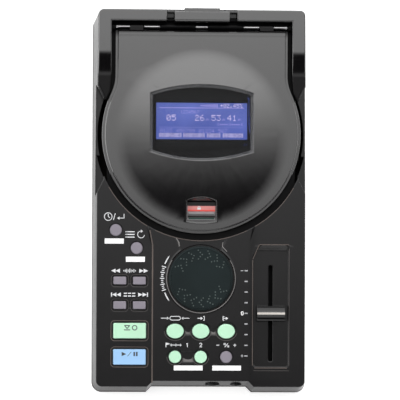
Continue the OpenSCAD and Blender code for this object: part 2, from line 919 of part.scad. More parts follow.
module sled_motor() {
    color(steel)
        on_panel()
            translate([sled_motor_x, sled_motor_y, 0]) {
                translate([0, 0, -gear_z - 2 * gear_t - gear_step - 9])
                    cylinder(r = 7.5, h = 8.5);
                translate([0, 0, -gear_z - 2 * gear_t - gear_step - 1])
                    cylinder(r = sled_shaft_r, h = gear_t + 1);
                for (side = [-1, 1])
                    translate([6.5 * side - 1.5, 5.5, -gear_z - 2 * gear_t - gear_step - 9])
                        cube([3, 3, gear_z + 2 * gear_t + gear_step + 9 - chassis_z - chassis_t]);
            }
}

module dampers() {
    color("#2b2b2b")
        on_panel()
            for (at = damper_places)
                translate([at[0], at[1], -chassis_z - chassis_t - 4])
                    difference() {
                        union() {
                            cylinder(r = damper_r, h = chassis_t + 5);
                            cylinder(r = damper_r + 1.5, h = 4);
                        }
                        translate([0, 0, 4])
                            cylinder(r = 1.2, h = 10);
                    }
}

module mech_screws() {
    color(steel)
        on_panel()
            for (at = damper_places)
                translate([at[0], at[1], -chassis_z - chassis_t]) {
                    cylinder(r = 1.2, h = chassis_t + 1);
                    translate([0, 0, chassis_t + 1])
                        cylinder(r = 2.6, h = 0.9);
                }
}

module turntable_hub() {
    color("#3a3a3d")
        on_panel()
            translate([0, disc_y]) {
                difference() {
                    union() {
                        translate([0, 0, -chassis_z + 1])
                            cylinder(r = 5, h = chassis_z - 1 - disc_drop - disc_t);
                        translate([0, 0, -disc_drop - disc_t - 1.6])
                            cylinder(r = hub_flange_r, h = 1.6);
                        translate([0, 0, -disc_drop - disc_t - eps])
                            cylinder(r = hub_pin_r, h = 2.4);
                        translate([0, 0, -disc_drop - disc_t + 2.4 - 2 * eps])
                            cylinder(r1 = hub_pin_r, r2 = hub_pin_r - 1.6, h = 1.2);
                    }
                    translate([0, 0, -chassis_z])
                        cylinder(r = spindle_r + run_gap, h = 4);
                    for (turn = [0, 120, 240])
                        rotate(turn)
                            translate([hub_pin_r - 2 * ball_r - 0.6, 0, -disc_drop + ball_up])
                                rotate([0, 90, 0])
                                    cylinder(r = ball_r + run_gap, h = 3 * ball_r + 0.6);
                }
            }
}

module hub_balls() {
    color(steel)
        on_panel()
            translate([0, disc_y, -disc_drop + ball_up])
                for (turn = [0, 120, 240])
                    rotate(turn)
                        translate([hub_pin_r - ball_r - eps, 0, 0])
                            sphere(r = ball_r);
}

module pickup_sled() {
    color("#2a2c30")
        on_panel()
            translate([0, disc_y - lens_in]) {
                difference() {
                    union() {
                        translate([0, 0, -chassis_z - chassis_t - 1])
                            slab(0, 4.8)
                                rounded_rect(2 * rod_x + 5, sled_l, 2);
                        translate([0, (sled_l / 2 - 2 - tower_front) / 2, -chassis_z])
                            slab(0, chassis_z - disc_drop - disc_t - 2.4)
                                rounded_rect(tower_w, sled_l / 2 - 2 + tower_front, 2);
                    }
                    for (side = [-1, 1])
                        translate([side * rod_x, -20, -rod_z])
                            rotate([-90, 0, 0])
                                cylinder(r = rod_r + run_gap, h = 40);
                    translate([0, 0, -disc_drop - disc_t - 4])
                        cylinder(r = 3.2, h = 10);
                }
                rack();
            }
}

// Rack along the sled: a tooth stands at the gear when the sled rests
module rack() {
    pitch = PI * gear_m;
    from = gear_y - disc_y + lens_in;
    first = -2;
    last = ceil(sled_travel / pitch) + 2;
    tip = pitch / 4 - backlash / 4 - addendum * tan(pressure);
    root = pitch / 4 - backlash / 4 + dedendum * tan(pressure);
    translate([0, 0, -gear_z - gear_t])
        linear_extrude(gear_t) {
            translate([rod_x - 2, from + (first - 0.5) * pitch])
                square([rack_x - dedendum - rod_x + 2, (last - first + 1) * pitch]);
            for (i = [first:last])
                translate([rack_x, from + i * pitch])
                    polygon([[-dedendum - eps, -root], [addendum, -tip], [addendum, tip], [-dedendum - eps, root]]);
        }
}

module pickup_lens() {
    color("#5b6fae")
        on_panel()
            translate([0, disc_y - lens_in, -disc_drop - disc_t - 4]) {
                cylinder(r = 3, h = 1.4);
                translate([0, 0, 1.4 - eps])
                    cylinder(r1 = 2.6, r2 = 1.8, h = 0.8);
            }
}

function involute_angle(a) = tan(a) * 180 / PI - a;

// Half the angle that a tooth fills at radius `r`, in degrees
function half_tooth(teeth, r) =
    90 / teeth - backlash / 4 / (gear_m * teeth / 2) * 180 / PI + involute_angle(pressure)
    - involute_angle(acos(min(1, gear_m * teeth / 2 * cos(pressure) / r)));

// A spur gear with a tooth pointing at `turn`
module gear_outline(teeth, turn) {
    pitch_r = gear_m * teeth / 2;
    root_r = pitch_r - dedendum;
    tip_r = pitch_r + addendum;
    flank_r = max(root_r, pitch_r * cos(pressure));
    steps = 3;
    radii = concat([root_r], [for (i = [0:steps]) flank_r + (tip_r - flank_r) * i / steps]);
    polygon([for (tooth = [0:teeth - 1]) each concat(
        [for (i = [0:len(radii) - 1]) radii[i] * direction(turn + tooth * 360 / teeth
            - half_tooth(teeth, max(radii[i], flank_r)))],
        [for (i = [len(radii) - 1:-1:0]) radii[i] * direction(turn + tooth * 360 / teeth
            + half_tooth(teeth, max(radii[i], flank_r)))])]);
}

function direction(angle) = [cos(angle), sin(angle)];

module sled_gear() {
    color("#d9d6cc")
        on_panel()
            translate([gear_x, gear_y])
                difference() {
                    union() {
                        slab(-gear_z - gear_t - eps, -gear_z + 0.2)
                            gear_outline(small_teeth, 180 / small_teeth);
                        slab(-gear_z - 2 * gear_t - gear_step, -gear_z - gear_t - gear_step)
                            gear_outline(large_teeth, motor_turn);
                        slab(-gear_z - gear_t - gear_step - eps, -gear_z - gear_t)
                            circle(small_r - dedendum);
                    }
                    slab(-gear_z - 20, 0)
                        circle(post_r + run_gap);
                }
}

module motor_pinion() {
    color("#c9a94b")
        on_panel()
            translate([sled_motor_x, sled_motor_y])
                slab(-gear_z - 2 * gear_t - gear_step, -gear_z - gear_t - gear_step)
                    difference() {
                        gear_outline(motor_teeth, motor_turn + 180 + 180 / motor_teeth);
                        circle(sled_shaft_r + run_gap);
                    }
}

// ---------------------------------------------------------------- boards and controls

module main_board() {
    color(board_green)
        translate([0, 20, floor_z + 2.5]) {
            linear_extrude(board_t)
                difference() {
                    rounded_rect(116, 150, 2);
                    for (at = damper_places)
                        translate([at[0], panel_front_y + at[1] * cos(slope) - 20 + 3.2])
                            circle(7);
                }
            for (x = [-1, 1])
                for (y = [-1, 1])
                    translate([x * 54, y * 70, -2.5])
                        cylinder(r = 2, h = 2.5 + board_t);
            translate([-14, -34, board_t])
                cube([20, 20, 2]);
            translate([16, -30, board_t])
                cube([14, 10, 1.6]);
        }
}

module panel_board() {
    color(board_green)
        on_panel()
            slab(-board_z - board_t, -board_z)
                polygon([[board_x, 9], [34, 9], [34, 104], [-38, 104], [-42, 118], [board_x, 118]]);
}

module key_switches() {
    color("#c8c8c4")
        on_panel()
            for (at = BUTTONS)
                translate([at[0][0], at[0][1], -board_z]) {
                    slab(0, switch_h)
                        square([switch_w, min(switch_w, 6)], center = true);
                    cylinder(r = 1.7, h = board_z - (wall + collar_gap + collar_t + stem_l + press + 0.15));
                }
}

module jog_encoder() {
    color(steel)
        on_panel()
            translate([0, dial_y, -board_z]) {
                difference() {
                    union() {
                        slab(0, 4)
                            square([14, 14], center = true);
                        cylinder(r = shaft_r + 1.2, h = 5.4);
                    }
                    cylinder(r = shaft_r + run_gap, h = 20);
                }
            }
}

module jog_shaft() {
    color(steel)
        on_panel()
            translate([0, dial_y, -board_z + 0.3])
                cylinder(r = shaft_r, h = board_z - 1.2);
}

module jog_dial() {
    color(rubber_black)
        on_panel()
            translate([0, dial_y])
                difference() {
                    rotate_extrude()
                        polygon([[0, -3.4], [dial_r + 0.4, -3.4], [dial_r + 0.4, -1.2], [dial_r, -1.2],
                            [dial_r, centre_rise + dial_h - 0.9], [dial_r - 0.9, centre_rise + dial_h],
                            [0, centre_rise + dial_h]]);
                    translate([0, 0, -10])
                        cylinder(r = shaft_r + run_gap, h = 10 - 0.9);
                    translate([0, 0, centre_rise + dial_h - 0.8])
                        cylinder(r = dial_r - 1.6, h = 2);
                }
}

module jog_pad() {
    color(rubber_black)
        on_panel()
            translate([0, dial_y, centre_rise + dial_h - 0.8])
                cylinder(r = dial_r - 1.6 - run_gap, h = 1.0);
}

module fader_body() {
    color(steel)
        on_panel()
            translate([fader_x, fader_y])
                difference() {
                    slab(-13, -recess_d - 2)
                        rounded_rect(9, fader_travel + 26, 0.8);
                    slab(-11.5, 0)
                        rounded_rect(6, fader_travel + 12, 0.8);
                }
}

module fader_lever() {
    color(steel)
        on_panel()
            translate([fader_x, fader_y])
                slab(-11, 0.5) {
                    square([1.2, 4], center = true);
                }
}

module fader_knob() {
    bottom = -recess_d + 0.6;
    color(case_black)
        on_panel()
            translate([0, fader_y])
                difference() {
                    along_x(fader_x - knob_w / 2, fader_x + knob_w / 2)
                        difference() {
                            polygon([[-knob_l / 2, bottom], [knob_l / 2, bottom],
                                [knob_l / 2 - 0.6, bottom + knob_h - 1.6], [0.8, bottom + knob_h],
                                [-0.8, bottom + knob_h], [-knob_l / 2 + 0.6, bottom + knob_h - 1.6]]);
                            for (side = [-1, 1])
                                translate([side * 4.2, bottom + knob_h + 2.6])
                                    circle(4.2);
                        }
                    translate([fader_x, 0])
                        slab(-20, 0.5)
                            square([1.2, 4], center = true);
                }
}

module button(at) {
    under = wall + collar_gap;
    on_panel()
        translate(at[0]) {
            slab(-under - eps, panel_top(at[0][0]) + cap_h)
                cap_shape(at, 0);
            slab(-under - collar_t, -under)
                cap_shape(at, collar);
            translate([0, 0, -under - collar_t - stem_l])
                cylinder(r = 1.6, h = stem_l + eps);
        }
}

module time_button() color(key_grey) button(time_at);
module mode_button() color(key_grey) button(mode_at);
module search_back_button() color(key_grey) button(search_back_at);
module search_forward_button() color(key_grey) button(search_forward_at);
module skip_back_button() color(key_grey) button(skip_back_at);
module skip_forward_button() color(key_grey) button(skip_forward_at);
module cue_button() color(mint) button(cue_at);
module play_button() color(sky) button(play_at);
module reloop_button() color(mint) button(reloop_at);
module loop_in_button() color(mint) button(loop_in_at);
module loop_out_button() color(mint) button(loop_out_at);
module hot_cue_1_button() color(mint) button(hot_cue_1_at);
module hot_cue_2_button() color(mint) button(hot_cue_2_at);
module tempo_button() color(key_grey) button(tempo_at);

// ---------------------------------------------------------------- lid

module lid_solid(grow, top) {
    translate([0, disc_y])
        slab(-lid_depth, top)
            keyhole(grow, hinge_reach - lid_rear);
}

module dome(level, r) {
    translate([0, dome_y])
        intersection() {
            translate([0, 0, level + dome_rise - dome_sphere_r])
                sphere(r = dome_sphere_r, $fn = 200);
            translate([0, 0, level - 3])
                cylinder(r = r, h = 20);
        }
}

// Side profile of the lid with its rounded rear edge
module lid_profile() {
    end = hinge_y - lid_rear;
    top = lid_rise;
    translate([0, -20])
        square([end - rear_round, 40]);
    translate([end - rear_round - eps, -20])
        square([rear_round + eps, 20 + top - rear_round]);
    translate([end - rear_round, top - rear_round])
        circle(rear_round);
}

module lid_shell() {
    color(case_black)
        on_panel()
            difference() {
                union() {
                    difference() {
                        intersection() {
                            union() {
                                lid_solid(0, lid_rise);
                                translate([0, disc_y])
                                    slab(-lid_depth, -lid_depth + flange_h)
                                        keyhole(flange_out, hinge_reach - lid_rear);
                                dome(lid_rise, dome_r);
                            }
                            along_x(-case_w, case_w)
                                lid_profile();
                        }
                        translate([0, 0, -lid_skin])
                            difference() {
                                union() {
                                    translate([0, disc_y])
                                        slab(-lid_depth, lid_rise)
                                            keyhole(-lid_skin, hinge_reach - lid_rear - rear_round);
                                    dome(lid_rise, dome_r - lid_skin);
                                }
                                window_block();
                                latch_block();
                            }
                    }
                    mirrored()
                        for (k = knuckles)
                            lid_knuckle(k[0], k[1]);
                }
                window_cut();
                latch_cut();
            }
}

module window_block() {
    translate([0, disc_y + window_shift])
        slab(window_z - window_t - 1.2 + lid_skin, 20)
            barrel(2);
}

module window_cut() {
    translate([0, disc_y + window_shift]) {
        slab(window_z - window_t, 20)
            barrel(0);
        slab(-20, 20)
            barrel(-1.8);
    }
}

// The solid block that the latch well is cut from
module latch_block() {
    front = latch_back - latch_l - latch_sag - latch_wall;
    rear = latch_back + latch_bow + latch_wall;
    translate([0, latch_y + (front + rear) / 2])
        slab(-20, 20)
            rounded_rect(latch_w + 2 * latch_wall, rear - front, 2);
}

// Outline of the latch well with its bulging edges, ended at `rear`
module latch_outline(rear) {
    half = latch_w / 2;
    bow_r = (half * half + latch_bow * latch_bow) / (2 * latch_bow);
    sag_r = (half * half + latch_sag * latch_sag) / (2 * latch_sag);
    intersection() {
        translate([-half, -20])
            square([latch_w, 20 + rear]);
        translate([0, latch_back + latch_bow - bow_r])
            circle(bow_r, $fn = 96);
        translate([0, latch_back - latch_l - latch_sag + sag_r])
            circle(sag_r, $fn = 96);
    }
}

module latch_cut() {
    top = lid_rise + 1;
    translate([0, latch_y]) {
        hull() {
            slab(lid_rise - latch_floor, lid_rise - latch_floor + eps)
                latch_outline(slider[1] + latch_travel + slide_gap);
            slab(top, top + eps)
                latch_outline(20);
        }
        slab(top, 20)
            latch_outline(20);
        translate([-latch_hook_w / 2 - slide_gap, ridge[0] - slide_gap])
            slab(-20, 20)
                square([latch_hook_w + 2 * slide_gap, hook_t + latch_travel + 2 * slide_gap]);
    }
    translate([-latch_hook_w / 2 - slide_gap, disc_y - lid_r + lid_skin])
        slab(-20, -lid_depth + liner_t + 1.4)
            square([latch_hook_w + 2 * slide_gap,
                lid_r - lid_skin - latch_front + ridge[0] + hook_t + latch_travel + slide_gap]);
}

module lid_knuckle(from, to) {
    along_x(from, to)
        difference() {
            union() {
                translate([hinge_y, -hinge_drop])
                    circle(knuckle_r);
                translate([hinge_y - lid_rear - 1.5, -lid_depth])
                    square([lid_rear + 1.5, lid_depth - hinge_drop + knuckle_r]);
            }
            translate([hinge_y, -hinge_drop])
                circle(pin_r + run_gap);
        }
}

module lid_liner() {
    color(border_black)
        on_panel()
            difference() {
                translate([0, disc_y])
                    slab(-lid_depth, -lid_depth + liner_t)
                        keyhole(-lid_skin - seat_gap, hinge_reach - lid_rear - rear_round - seat_gap);
                translate([-latch_w / 2 - latch_wall - seat_gap, disc_y - lid_r])
                    slab(-20, 20)
                        square([latch_w + 2 * latch_wall + 2 * seat_gap,
                            lid_r - latch_front + latch_back + latch_bow + latch_wall + seat_gap]);
                for (at = lid_screw_places)
                    translate([at[0], at[1], -lid_depth - 1])
                        cylinder(r = 2.2, h = 1.8);
            }
}

lid_screw_places = [for (x = [-1, 1]) for (y = [-38, 50]) [x * 46, disc_y + y]];

module lid_screws() {
    color(steel)
        on_panel()
            for (at = lid_screw_places)
                translate([at[0], at[1], -lid_depth])
                    cylinder(r = 2.1, h = 0.8);
}

module display_window() {
    color([0.1, 0.1, 0.12, 0.5])
        on_panel()
            translate([0, disc_y + window_shift])
                slab(window_z - window_t, window_z)
                    barrel(-seat_gap);
}

module display_mask() {
    mask_t = 0.6;
    color("#0b0b0c")
        on_panel()
            difference() {
                translate([0, disc_y + window_shift])
                    slab(window_z - window_t - mask_t, window_z - window_t)
                        barrel(-2);
                translate([0, disc_y + screen_shift])
                    slab(-5, 10)
                        square([screen_w, screen_h], center = true);
            }
}

module lcd_panel() {
    color("#5560b8")
        on_panel()
            translate([0, disc_y + screen_shift])
                slab(-lid_depth + liner_t, window_z - window_t - 0.6)
                    square([screen_w + 4, screen_h + 8], center = true);
}

module latch_slider() {
    level = lid_rise - latch_floor + 0.1;
    hook = latch_y + ridge[0];
    color(part_grey)
        on_panel() {
            intersection() {
                translate([0, latch_y])
                    slab(level, level + slider_t)
                        offset(delta = -slide_gap)
                            latch_outline(20);
                translate([-case_w, latch_y + slider[0], -20])
                    cube([2 * case_w, slider[1] - slider[0], 40]);
            }
            along_x(-latch_w / 2 + 1.6, latch_w / 2 - 1.6)
                translate([latch_y, level])
                    polygon([[ridge[0], 0], [ridge[1], 0], [ridge[1] - 0.1, 1.5], [ridge[1] - 0.5, 2.2],
                        [ridge[0] + 0.9, 2.2], [ridge[0] + 0.2, 1.2]]);
            along_x(-latch_hook_w / 2, latch_hook_w / 2)
                polygon([[hook + hook_t, level + eps], [hook, level + eps], [hook, -lid_depth + liner_t + 1],
                    [disc_y - hook_r, -lid_depth + liner_t + 1], [disc_y - hook_r, -deck_z - deck_t - 0.5],
                    [disc_y - hook_r - hook_nose, -deck_z - deck_t - 0.7], [disc_y - hook_r, -deck_z - deck_t - 1.6],
                    [disc_y - hook_r + 2, -deck_z - deck_t - 1.2], [disc_y - hook_r + 2, -lid_depth + 0.3],
                    [hook + hook_t, -lid_depth + 0.3]]);
        }
}

// ---------------------------------------------------------------- sockets, knobs and feet

module phones_jack() {
    color("#1a1a1c")
        translate([phones_x, 0, front_axis_z])
            rotate([90, 0, 0])
                difference() {
                    union() {
                        translate([0, 0, front_face - 22])
                            cylinder(r = phones_r, h = 22 + front_out);
                        translate([-6, -6, front_face - 24])
                            cube([12, 12, 18]);
                    }
                    translate([0, 0, front_face - 22])
                        cylinder(r = phones_bore_r, h = 40);
                }
}

module level_pot() {
    color(steel)
        translate([level_x, 0, front_axis_z])
            rotate([90, 0, 0])
                difference() {
                    translate([-5.5, -5.5, front_face - 19])
                        cube([11, 11, 12]);
                    translate([0, 0, front_face - 16])
                        cylinder(r = knob_shaft_r + run_gap, h = 30);
                }
}

module level_knob() {
    color("#1a1a1c")
        translate([level_x, 0, front_axis_z])
            rotate([90, 0, 0])
                difference() {
                    union() {
                        translate([0, 0, front_face - 6])
                            cylinder(r = level_r, h = 6 + front_out - 0.4);
                        translate([0, 0, front_face + front_out - 0.4 - eps])
                            cylinder(r1 = level_r, r2 = level_r - 1, h = 0.8);
                        translate([0, 0, front_face - 15])
                            cylinder(r = knob_shaft_r, h = 10);
                    }
                    translate([-0.4, level_r - 0.8, front_face - 7])
                        cube([0.8, 2, 20]);
                }
}

module connector_plate() {
    color(border_black)
        difference() {
            translate([0, plate_y, rear_axis_z])
                rotate([-90, 0, 0])
                    linear_extrude(plate_t)
                        rounded_rect(plate_w - 2 * seat_gap, plate_h - 2 * seat_gap, 2);
            for (i = [0:2])
                translate([phono_x + i * phono_pitch, plate_y - 5, rear_axis_z])
                    rotate([-90, 0, 0])
                        cylinder(r = phono_r - neck_in + seat_gap, h = 20);
            translate([power_x, plate_y - 5, rear_axis_z])
                rotate([-90, 0, 0])
                    cylinder(r = power_bore_r + 1, h = 20);
            translate([switch_x - rocker_w / 2 - 1, plate_y - 5, rear_axis_z - rocker_h / 2 - 1])
                cube([rocker_w + 2, 20, rocker_h + 2]);
        }
}

module phono_jacks() {
    color(steel)
        for (i = [0:2])
            translate([phono_x + i * phono_pitch, plate_y, rear_axis_z])
                rotate([-90, 0, 0])
                    difference() {
                        union() {
                            translate([0, 0, -10])
                                cylinder(r = phono_r - neck_in, h = 10 + plate_t + neck_gap + 1);
                            translate([0, 0, plate_t + neck_gap])
                                cylinder(r = phono_r, h = phono_l);
                            translate([-6, -6, -14])
                                cube([12, 12, 14]);
                        }
                        translate([0, 0, -8])
                            cylinder(r = 1.7, h = 40);
                    }
}

module power_jack() {
    color("#1a1a1c")
        translate([power_x, plate_y, rear_axis_z])
            rotate([-90, 0, 0]) {
                difference() {
                    union() {
                        translate([-5, -5.5, -13])
                            cube([10, 11, 13]);
                        translate([0, 0, -eps])
                            cylinder(r = power_bore_r + 0.8, h = plate_t);
                    }
                    translate([0, 0, -10])
                        cylinder(r = power_bore_r, h = 20);
                }
                translate([0, 0, -10 - eps])
                    cylinder(r = 1, h = 9);
            }
}

module switch_housing() {
    color("#1a1a1c")
        translate([switch_x, plate_y, rear_axis_z])
            difference() {
                union() {
                    translate([-rocker_w / 2 - 1, -12, -rocker_h / 2 - 1])
                        cube([rocker_w + 2, 12 + plate_t, rocker_h + 2]);
                    translate([-rocker_w / 2 - 2, plate_t, -rocker_h / 2 - 2])
                        cube([rocker_w + 4, 1, rocker_h + 4]);
                }
                translate([-rocker_w / 2, -10, -rocker_h / 2])
                    cube([rocker_w, 20, rocker_h]);
                translate([0, plate_t - rocker_in, -rocker_h])
                    cylinder(r = rocker_pin_r + run_gap, h = 2 * rocker_h);
            }
}

module power_rocker() {
    half = rocker_w / 2 - 1.1;
    color("#1a1a1c")
        translate([switch_x, plate_y + plate_t - rocker_in, rear_axis_z]) {
            linear_extrude(rocker_h - 2 * slide_gap, center = true)
                polygon([[-half + 0.6, -1.5], [half - 0.6, -1.5], [half, 2.6], [0, 2.9], [-half, 4.2]]);
            translate([0, 0, -rocker_h / 2 - 0.8])
                cylinder(r = rocker_pin_r, h = rocker_h + 1.6);
        }
}

module rubber_feet() {
    color(rubber_black)
        for (at = foot_places)
            translate([at[0], at[1], 0])
                rotate_extrude()
                    polygon([[0, 0], [foot_r - 1, 0], [foot_r, 1], [foot_r, foot_h + 0.8], [0, foot_h + 0.8]]);
}

module case_screws() {
    color(steel)
        for (at = screw_places)
            translate([at[0], at[1], foot_h + 0.3]) {
                cylinder(r = 2.9, h = 1.5);
                translate([0, 0, 1.5 - eps])
                    cylinder(r = 1.5, h = 10);
            }
}

bottom_case();
top_cover();
rear_frame();
hinge_cap();
rear_hook();
disc_well();
hinge_pin();
mech_chassis();
guide_rods();
spindle_motor();
sled_motor();
dampers();
main_board();
panel_board();
key_switches();
jog_encoder();
fader_body();
connector_plate();
phono_jacks();
power_jack();
switch_housing();
phones_jack();
level_pot();
rubber_feet();
case_screws();
mech_screws();
lid_shell();
lid_liner();
display_window();
display_mask();
lcd_panel();
lid_screws();
latch_slider();
jog_dial();
jog_pad();
jog_shaft();
fader_knob();
fader_lever();
time_button();
mode_button();
search_back_button();
search_forward_button();
skip_back_button();
skip_forward_button();
cue_button();
play_button();
reloop_button();
loop_in_button();
loop_out_button();
hot_cue_1_button();
hot_cue_2_button();
tempo_button();
turntable_hub();
hub_balls();
pickup_sled();
pickup_lens();
sled_gear();
motor_pinion();
level_knob();
power_rocker();
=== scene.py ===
"""Looks of a tabletop disc player: finishes, printed marks, display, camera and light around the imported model."""

import json
import math

import bmesh
import bpy
from mathutils import Matrix, Vector


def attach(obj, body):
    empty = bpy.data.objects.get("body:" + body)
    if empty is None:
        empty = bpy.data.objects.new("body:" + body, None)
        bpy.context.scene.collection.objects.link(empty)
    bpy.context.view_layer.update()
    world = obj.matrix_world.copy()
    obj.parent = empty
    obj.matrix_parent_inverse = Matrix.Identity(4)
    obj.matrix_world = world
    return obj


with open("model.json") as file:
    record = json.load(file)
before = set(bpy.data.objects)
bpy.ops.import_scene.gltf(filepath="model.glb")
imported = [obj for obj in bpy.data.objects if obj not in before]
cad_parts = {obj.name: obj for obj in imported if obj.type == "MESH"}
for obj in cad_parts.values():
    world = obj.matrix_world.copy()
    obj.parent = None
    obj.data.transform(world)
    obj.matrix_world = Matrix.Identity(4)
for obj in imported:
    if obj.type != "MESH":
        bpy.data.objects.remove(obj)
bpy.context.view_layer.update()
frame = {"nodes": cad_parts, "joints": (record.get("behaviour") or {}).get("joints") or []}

MM = 0.001
JOINTS = {joint["name"]: joint for joint in frame["joints"]}
BUTTONS = sorted(node for node in frame["nodes"] if node.endswith("_button"))

# ------------------------------------------------------------------ the panel's own frame
# u runs across, v up the slope from the panel's front edge, w square to the panel. All in millimetres.
DIAL_V = 75.9
ACROSS = Vector((1, 0, 0))
UP_SLOPE = Vector(JOINTS["fader_slide"]["axis"]).normalized()
NORMAL = Vector(JOINTS["jog_spin"]["axis"]).normalized()
PANEL_ORIGIN = Vector(JOINTS["jog_spin"]["pos_m"]) - UP_SLOPE * DIAL_V * MM

CENTRE_RISE = 0.8           # how far the centre panel stands over the borders
DISC_V = 177.36             # the disc's centre
FADER_U, FADER_V = 49.2, 51.6
INK = 0.04                  # thickness of printed marks
SCALE_STEP = 7.47           # between the tempo scale's dashes
PAD_TOP = 1.1               # faces of the cue and play keys
PAD_LEVEL = 2.6             # face of the dial's pad
KNOB_LEVEL = 4.6            # crest of the fader's knob
SLIDER_LEVEL = 0.6          # face of the latch's plate
SCREEN_V, SCREEN_LEVEL = 186.46, 0.9    # middle and face of the display
SCREEN_W, SCREEN_H = 64.0, 25.7
LATCH_U = 0.1               # middle of the latch's marks
WELL_RADIUS = 75.0          # edge of the well that the lid lies in
GROOVE_RADIUS = 23.1        # groove round the dial
BEAD_RADIUS, BEAD_LEVEL = 24.1, CENTRE_RISE + 0.45      # bead round the groove
STUD_RADIUS = 16.8          # middle of the dial's rows of dots
TICK_RADIUS = 27.4          # bands and ticks round the dial
DISH = 0.7                  # depth of the dishes round the keys
STEP_U = 33.6               # half the centre panel's width
CAP_LEVEL = 0.9             # what stands higher than this belongs to a key's cap
CAP_CORNER = 0.9            # corner radius of the rectangular keys

# keys in a rectangular dish and keys in a round one
SQUARE_KEYS = ("cue_button", "play_button", "search_back_button", "search_forward_button",
               "skip_back_button", "skip_forward_button")
OVAL_KEYS = ("reloop_button", "loop_in_button", "loop_out_button", "hot_cue_1_button", "hot_cue_2_button")


def on_panel(u, v, w=0.0):
    """The point at u, v, w of the panel's frame, in metres."""
    return PANEL_ORIGIN + (ACROSS * u + UP_SLOPE * v + NORMAL * w) * MM


def polar(radius, angle, centre=(0, 0)):
    """The point at a radius and an angle (in radians) round a centre."""
    return centre[0] + radius * math.cos(angle), centre[1] + radius * math.sin(angle)


# ------------------------------------------------------------------ colours and shader helpers


def srgb(red, green, blue):
    """A linear colour from 8-bit display values."""

    def linear(value):
        value /= 255
        return value / 12.92 if value <= 0.04045 else ((value + 0.055) / 1.055) ** 2.4

    return (linear(red), linear(green), linear(blue), 1.0)


def scaled(colour, factor):
    """A linear colour made lighter or darker, with its alpha kept at 1."""
    return tuple(channel * factor for channel in colour[:3]) + (1.0,)


def arithmetic(tree, operation, *values):
    """Result of a Math node; each value is a node's output or a plain number."""
    node = tree.nodes.new("ShaderNodeMath")
    node.operation = operation
    for socket, value in zip(node.inputs, values):
        if isinstance(value, (int, float)):
            socket.default_value = value
        else:
            tree.links.new(value, socket)
    return node.outputs[0]


def part_of(tree, vector, axis):
    """One part of a vector: axis 0, 1 or 2."""
    split = tree.nodes.new("ShaderNodeSeparateXYZ")
    tree.links.new(vector, split.inputs[0])
    return split.outputs[axis]


def remapped(tree, value, numbers, smooth=False):
    """A value with numbers[0] to numbers[1] become numbers[2] to numbers[3]."""
    node = tree.nodes.new("ShaderNodeMapRange")
    if smooth:
        node.interpolation_type = "SMOOTHSTEP"
    for socket, number in zip(("From Min", "From Max", "To Min", "To Max"), numbers):
        node.inputs[socket].default_value = number
    tree.links.new(value, node.inputs["Value"])
    return node.outputs["Result"]


class Shader:
    """A Principled material in which every texture is measured in millimetres on the object."""

    def __init__(self, name, **sockets):
        self.material = bpy.data.materials.new(name)
        self.material.use_nodes = True
        self.tree = self.material.node_tree
        self.bsdf = self.tree.nodes["Principled BSDF"]
        self.coords = self.tree.nodes.new("ShaderNodeTexCoord").outputs["Object"]
        for socket, value in sockets.items():
            self.bsdf.inputs[socket.replace("_", " ")].default_value = value

    def link(self, output, socket):
        self.tree.links.new(output, self.bsdf.inputs[socket])

    def noise(self, size, detail=3.0, stretch=(1, 1, 1)):
        """Noise whose features are about `size` mm across, drawn out along the axes by `stretch`."""
        mapping = self.tree.nodes.new("ShaderNodeMapping")
        mapping.inputs["Scale"].default_value = [1 / (size * MM * s) for s in stretch]
        self.tree.links.new(self.coords, mapping.inputs["Vector"])
        texture = self.tree.nodes.new("ShaderNodeTexNoise")
        texture.inputs["Scale"].default_value = 1.0
        texture.inputs["Detail"].default_value = detail
        self.tree.links.new(mapping.outputs["Vector"], texture.inputs["Vector"])
        return texture.outputs["Fac"]

    def cells(self, size):
        """Distance to the nearest of points that stand about `size` mm apart."""
        texture = self.tree.nodes.new("ShaderNodeTexVoronoi")
        texture.inputs["Scale"].default_value = 1 / (size * MM)
        self.tree.links.new(self.coords, texture.inputs["Vector"])
        return texture.outputs["Distance"]

    def ramp(self, factor, low, high, at=(0.35, 0.65)):
        """Blends from colour `low` to colour `high` as `factor` goes from at[0] to at[1]."""
        node = self.tree.nodes.new("ShaderNodeValToRGB")
        for element, place, colour in zip(node.color_ramp.elements, at, (low, high)):
            element.position = place
            element.color = colour
        self.tree.links.new(factor, node.inputs["Fac"])
        return node.outputs["Color"]

    def span(self, factor, low, high):
        """`factor` from 0.3 to 0.7, where noise mostly lies, becomes a value from `low` to `high`."""
        return remapped(self.tree, factor, (0.3, 0.7, low, high))

    def upright(self, wall, top):
        """`wall` on faces that stand upright, `top` on faces that look up."""
        up = part_of(self.tree, self.coords.node.outputs["Normal"], 2)
        return remapped(self.tree, up, (0.2, 0.55, wall, top))

    def along(self, axis, start, end, low, high):
        """From `low` at `start` mm along an axis of the object to `high` at `end` mm."""
        if start > end:
            start, end, low, high = end, start, high, low
        return remapped(self.tree, part_of(self.tree, self.coords, axis), (start * MM, end * MM, low, high))

    def bump(self, height, depth):
        """Relief of `depth` mm; reliefs added one after the other stack."""
        node = self.tree.nodes.new("ShaderNodeBump")
        node.inputs["Strength"].default_value = 1.0
        node.inputs["Distance"].default_value = depth * MM
        self.tree.links.new(height, node.inputs["Height"])
        earlier = self.bsdf.inputs["Normal"].links
        if earlier:
            self.tree.links.new(earlier[0].from_socket, node.inputs["Normal"])
        self.link(node.outputs["Normal"], "Normal")

    def soften(self, radius):
        """Edges catch light as if rounded by `radius` mm. Called before any bump."""
        node = self.tree.nodes.new("ShaderNodeBevel")
        node.samples = 6
        node.inputs["Radius"].default_value = radius * MM
        self.link(node.outputs["Normal"], "Normal")


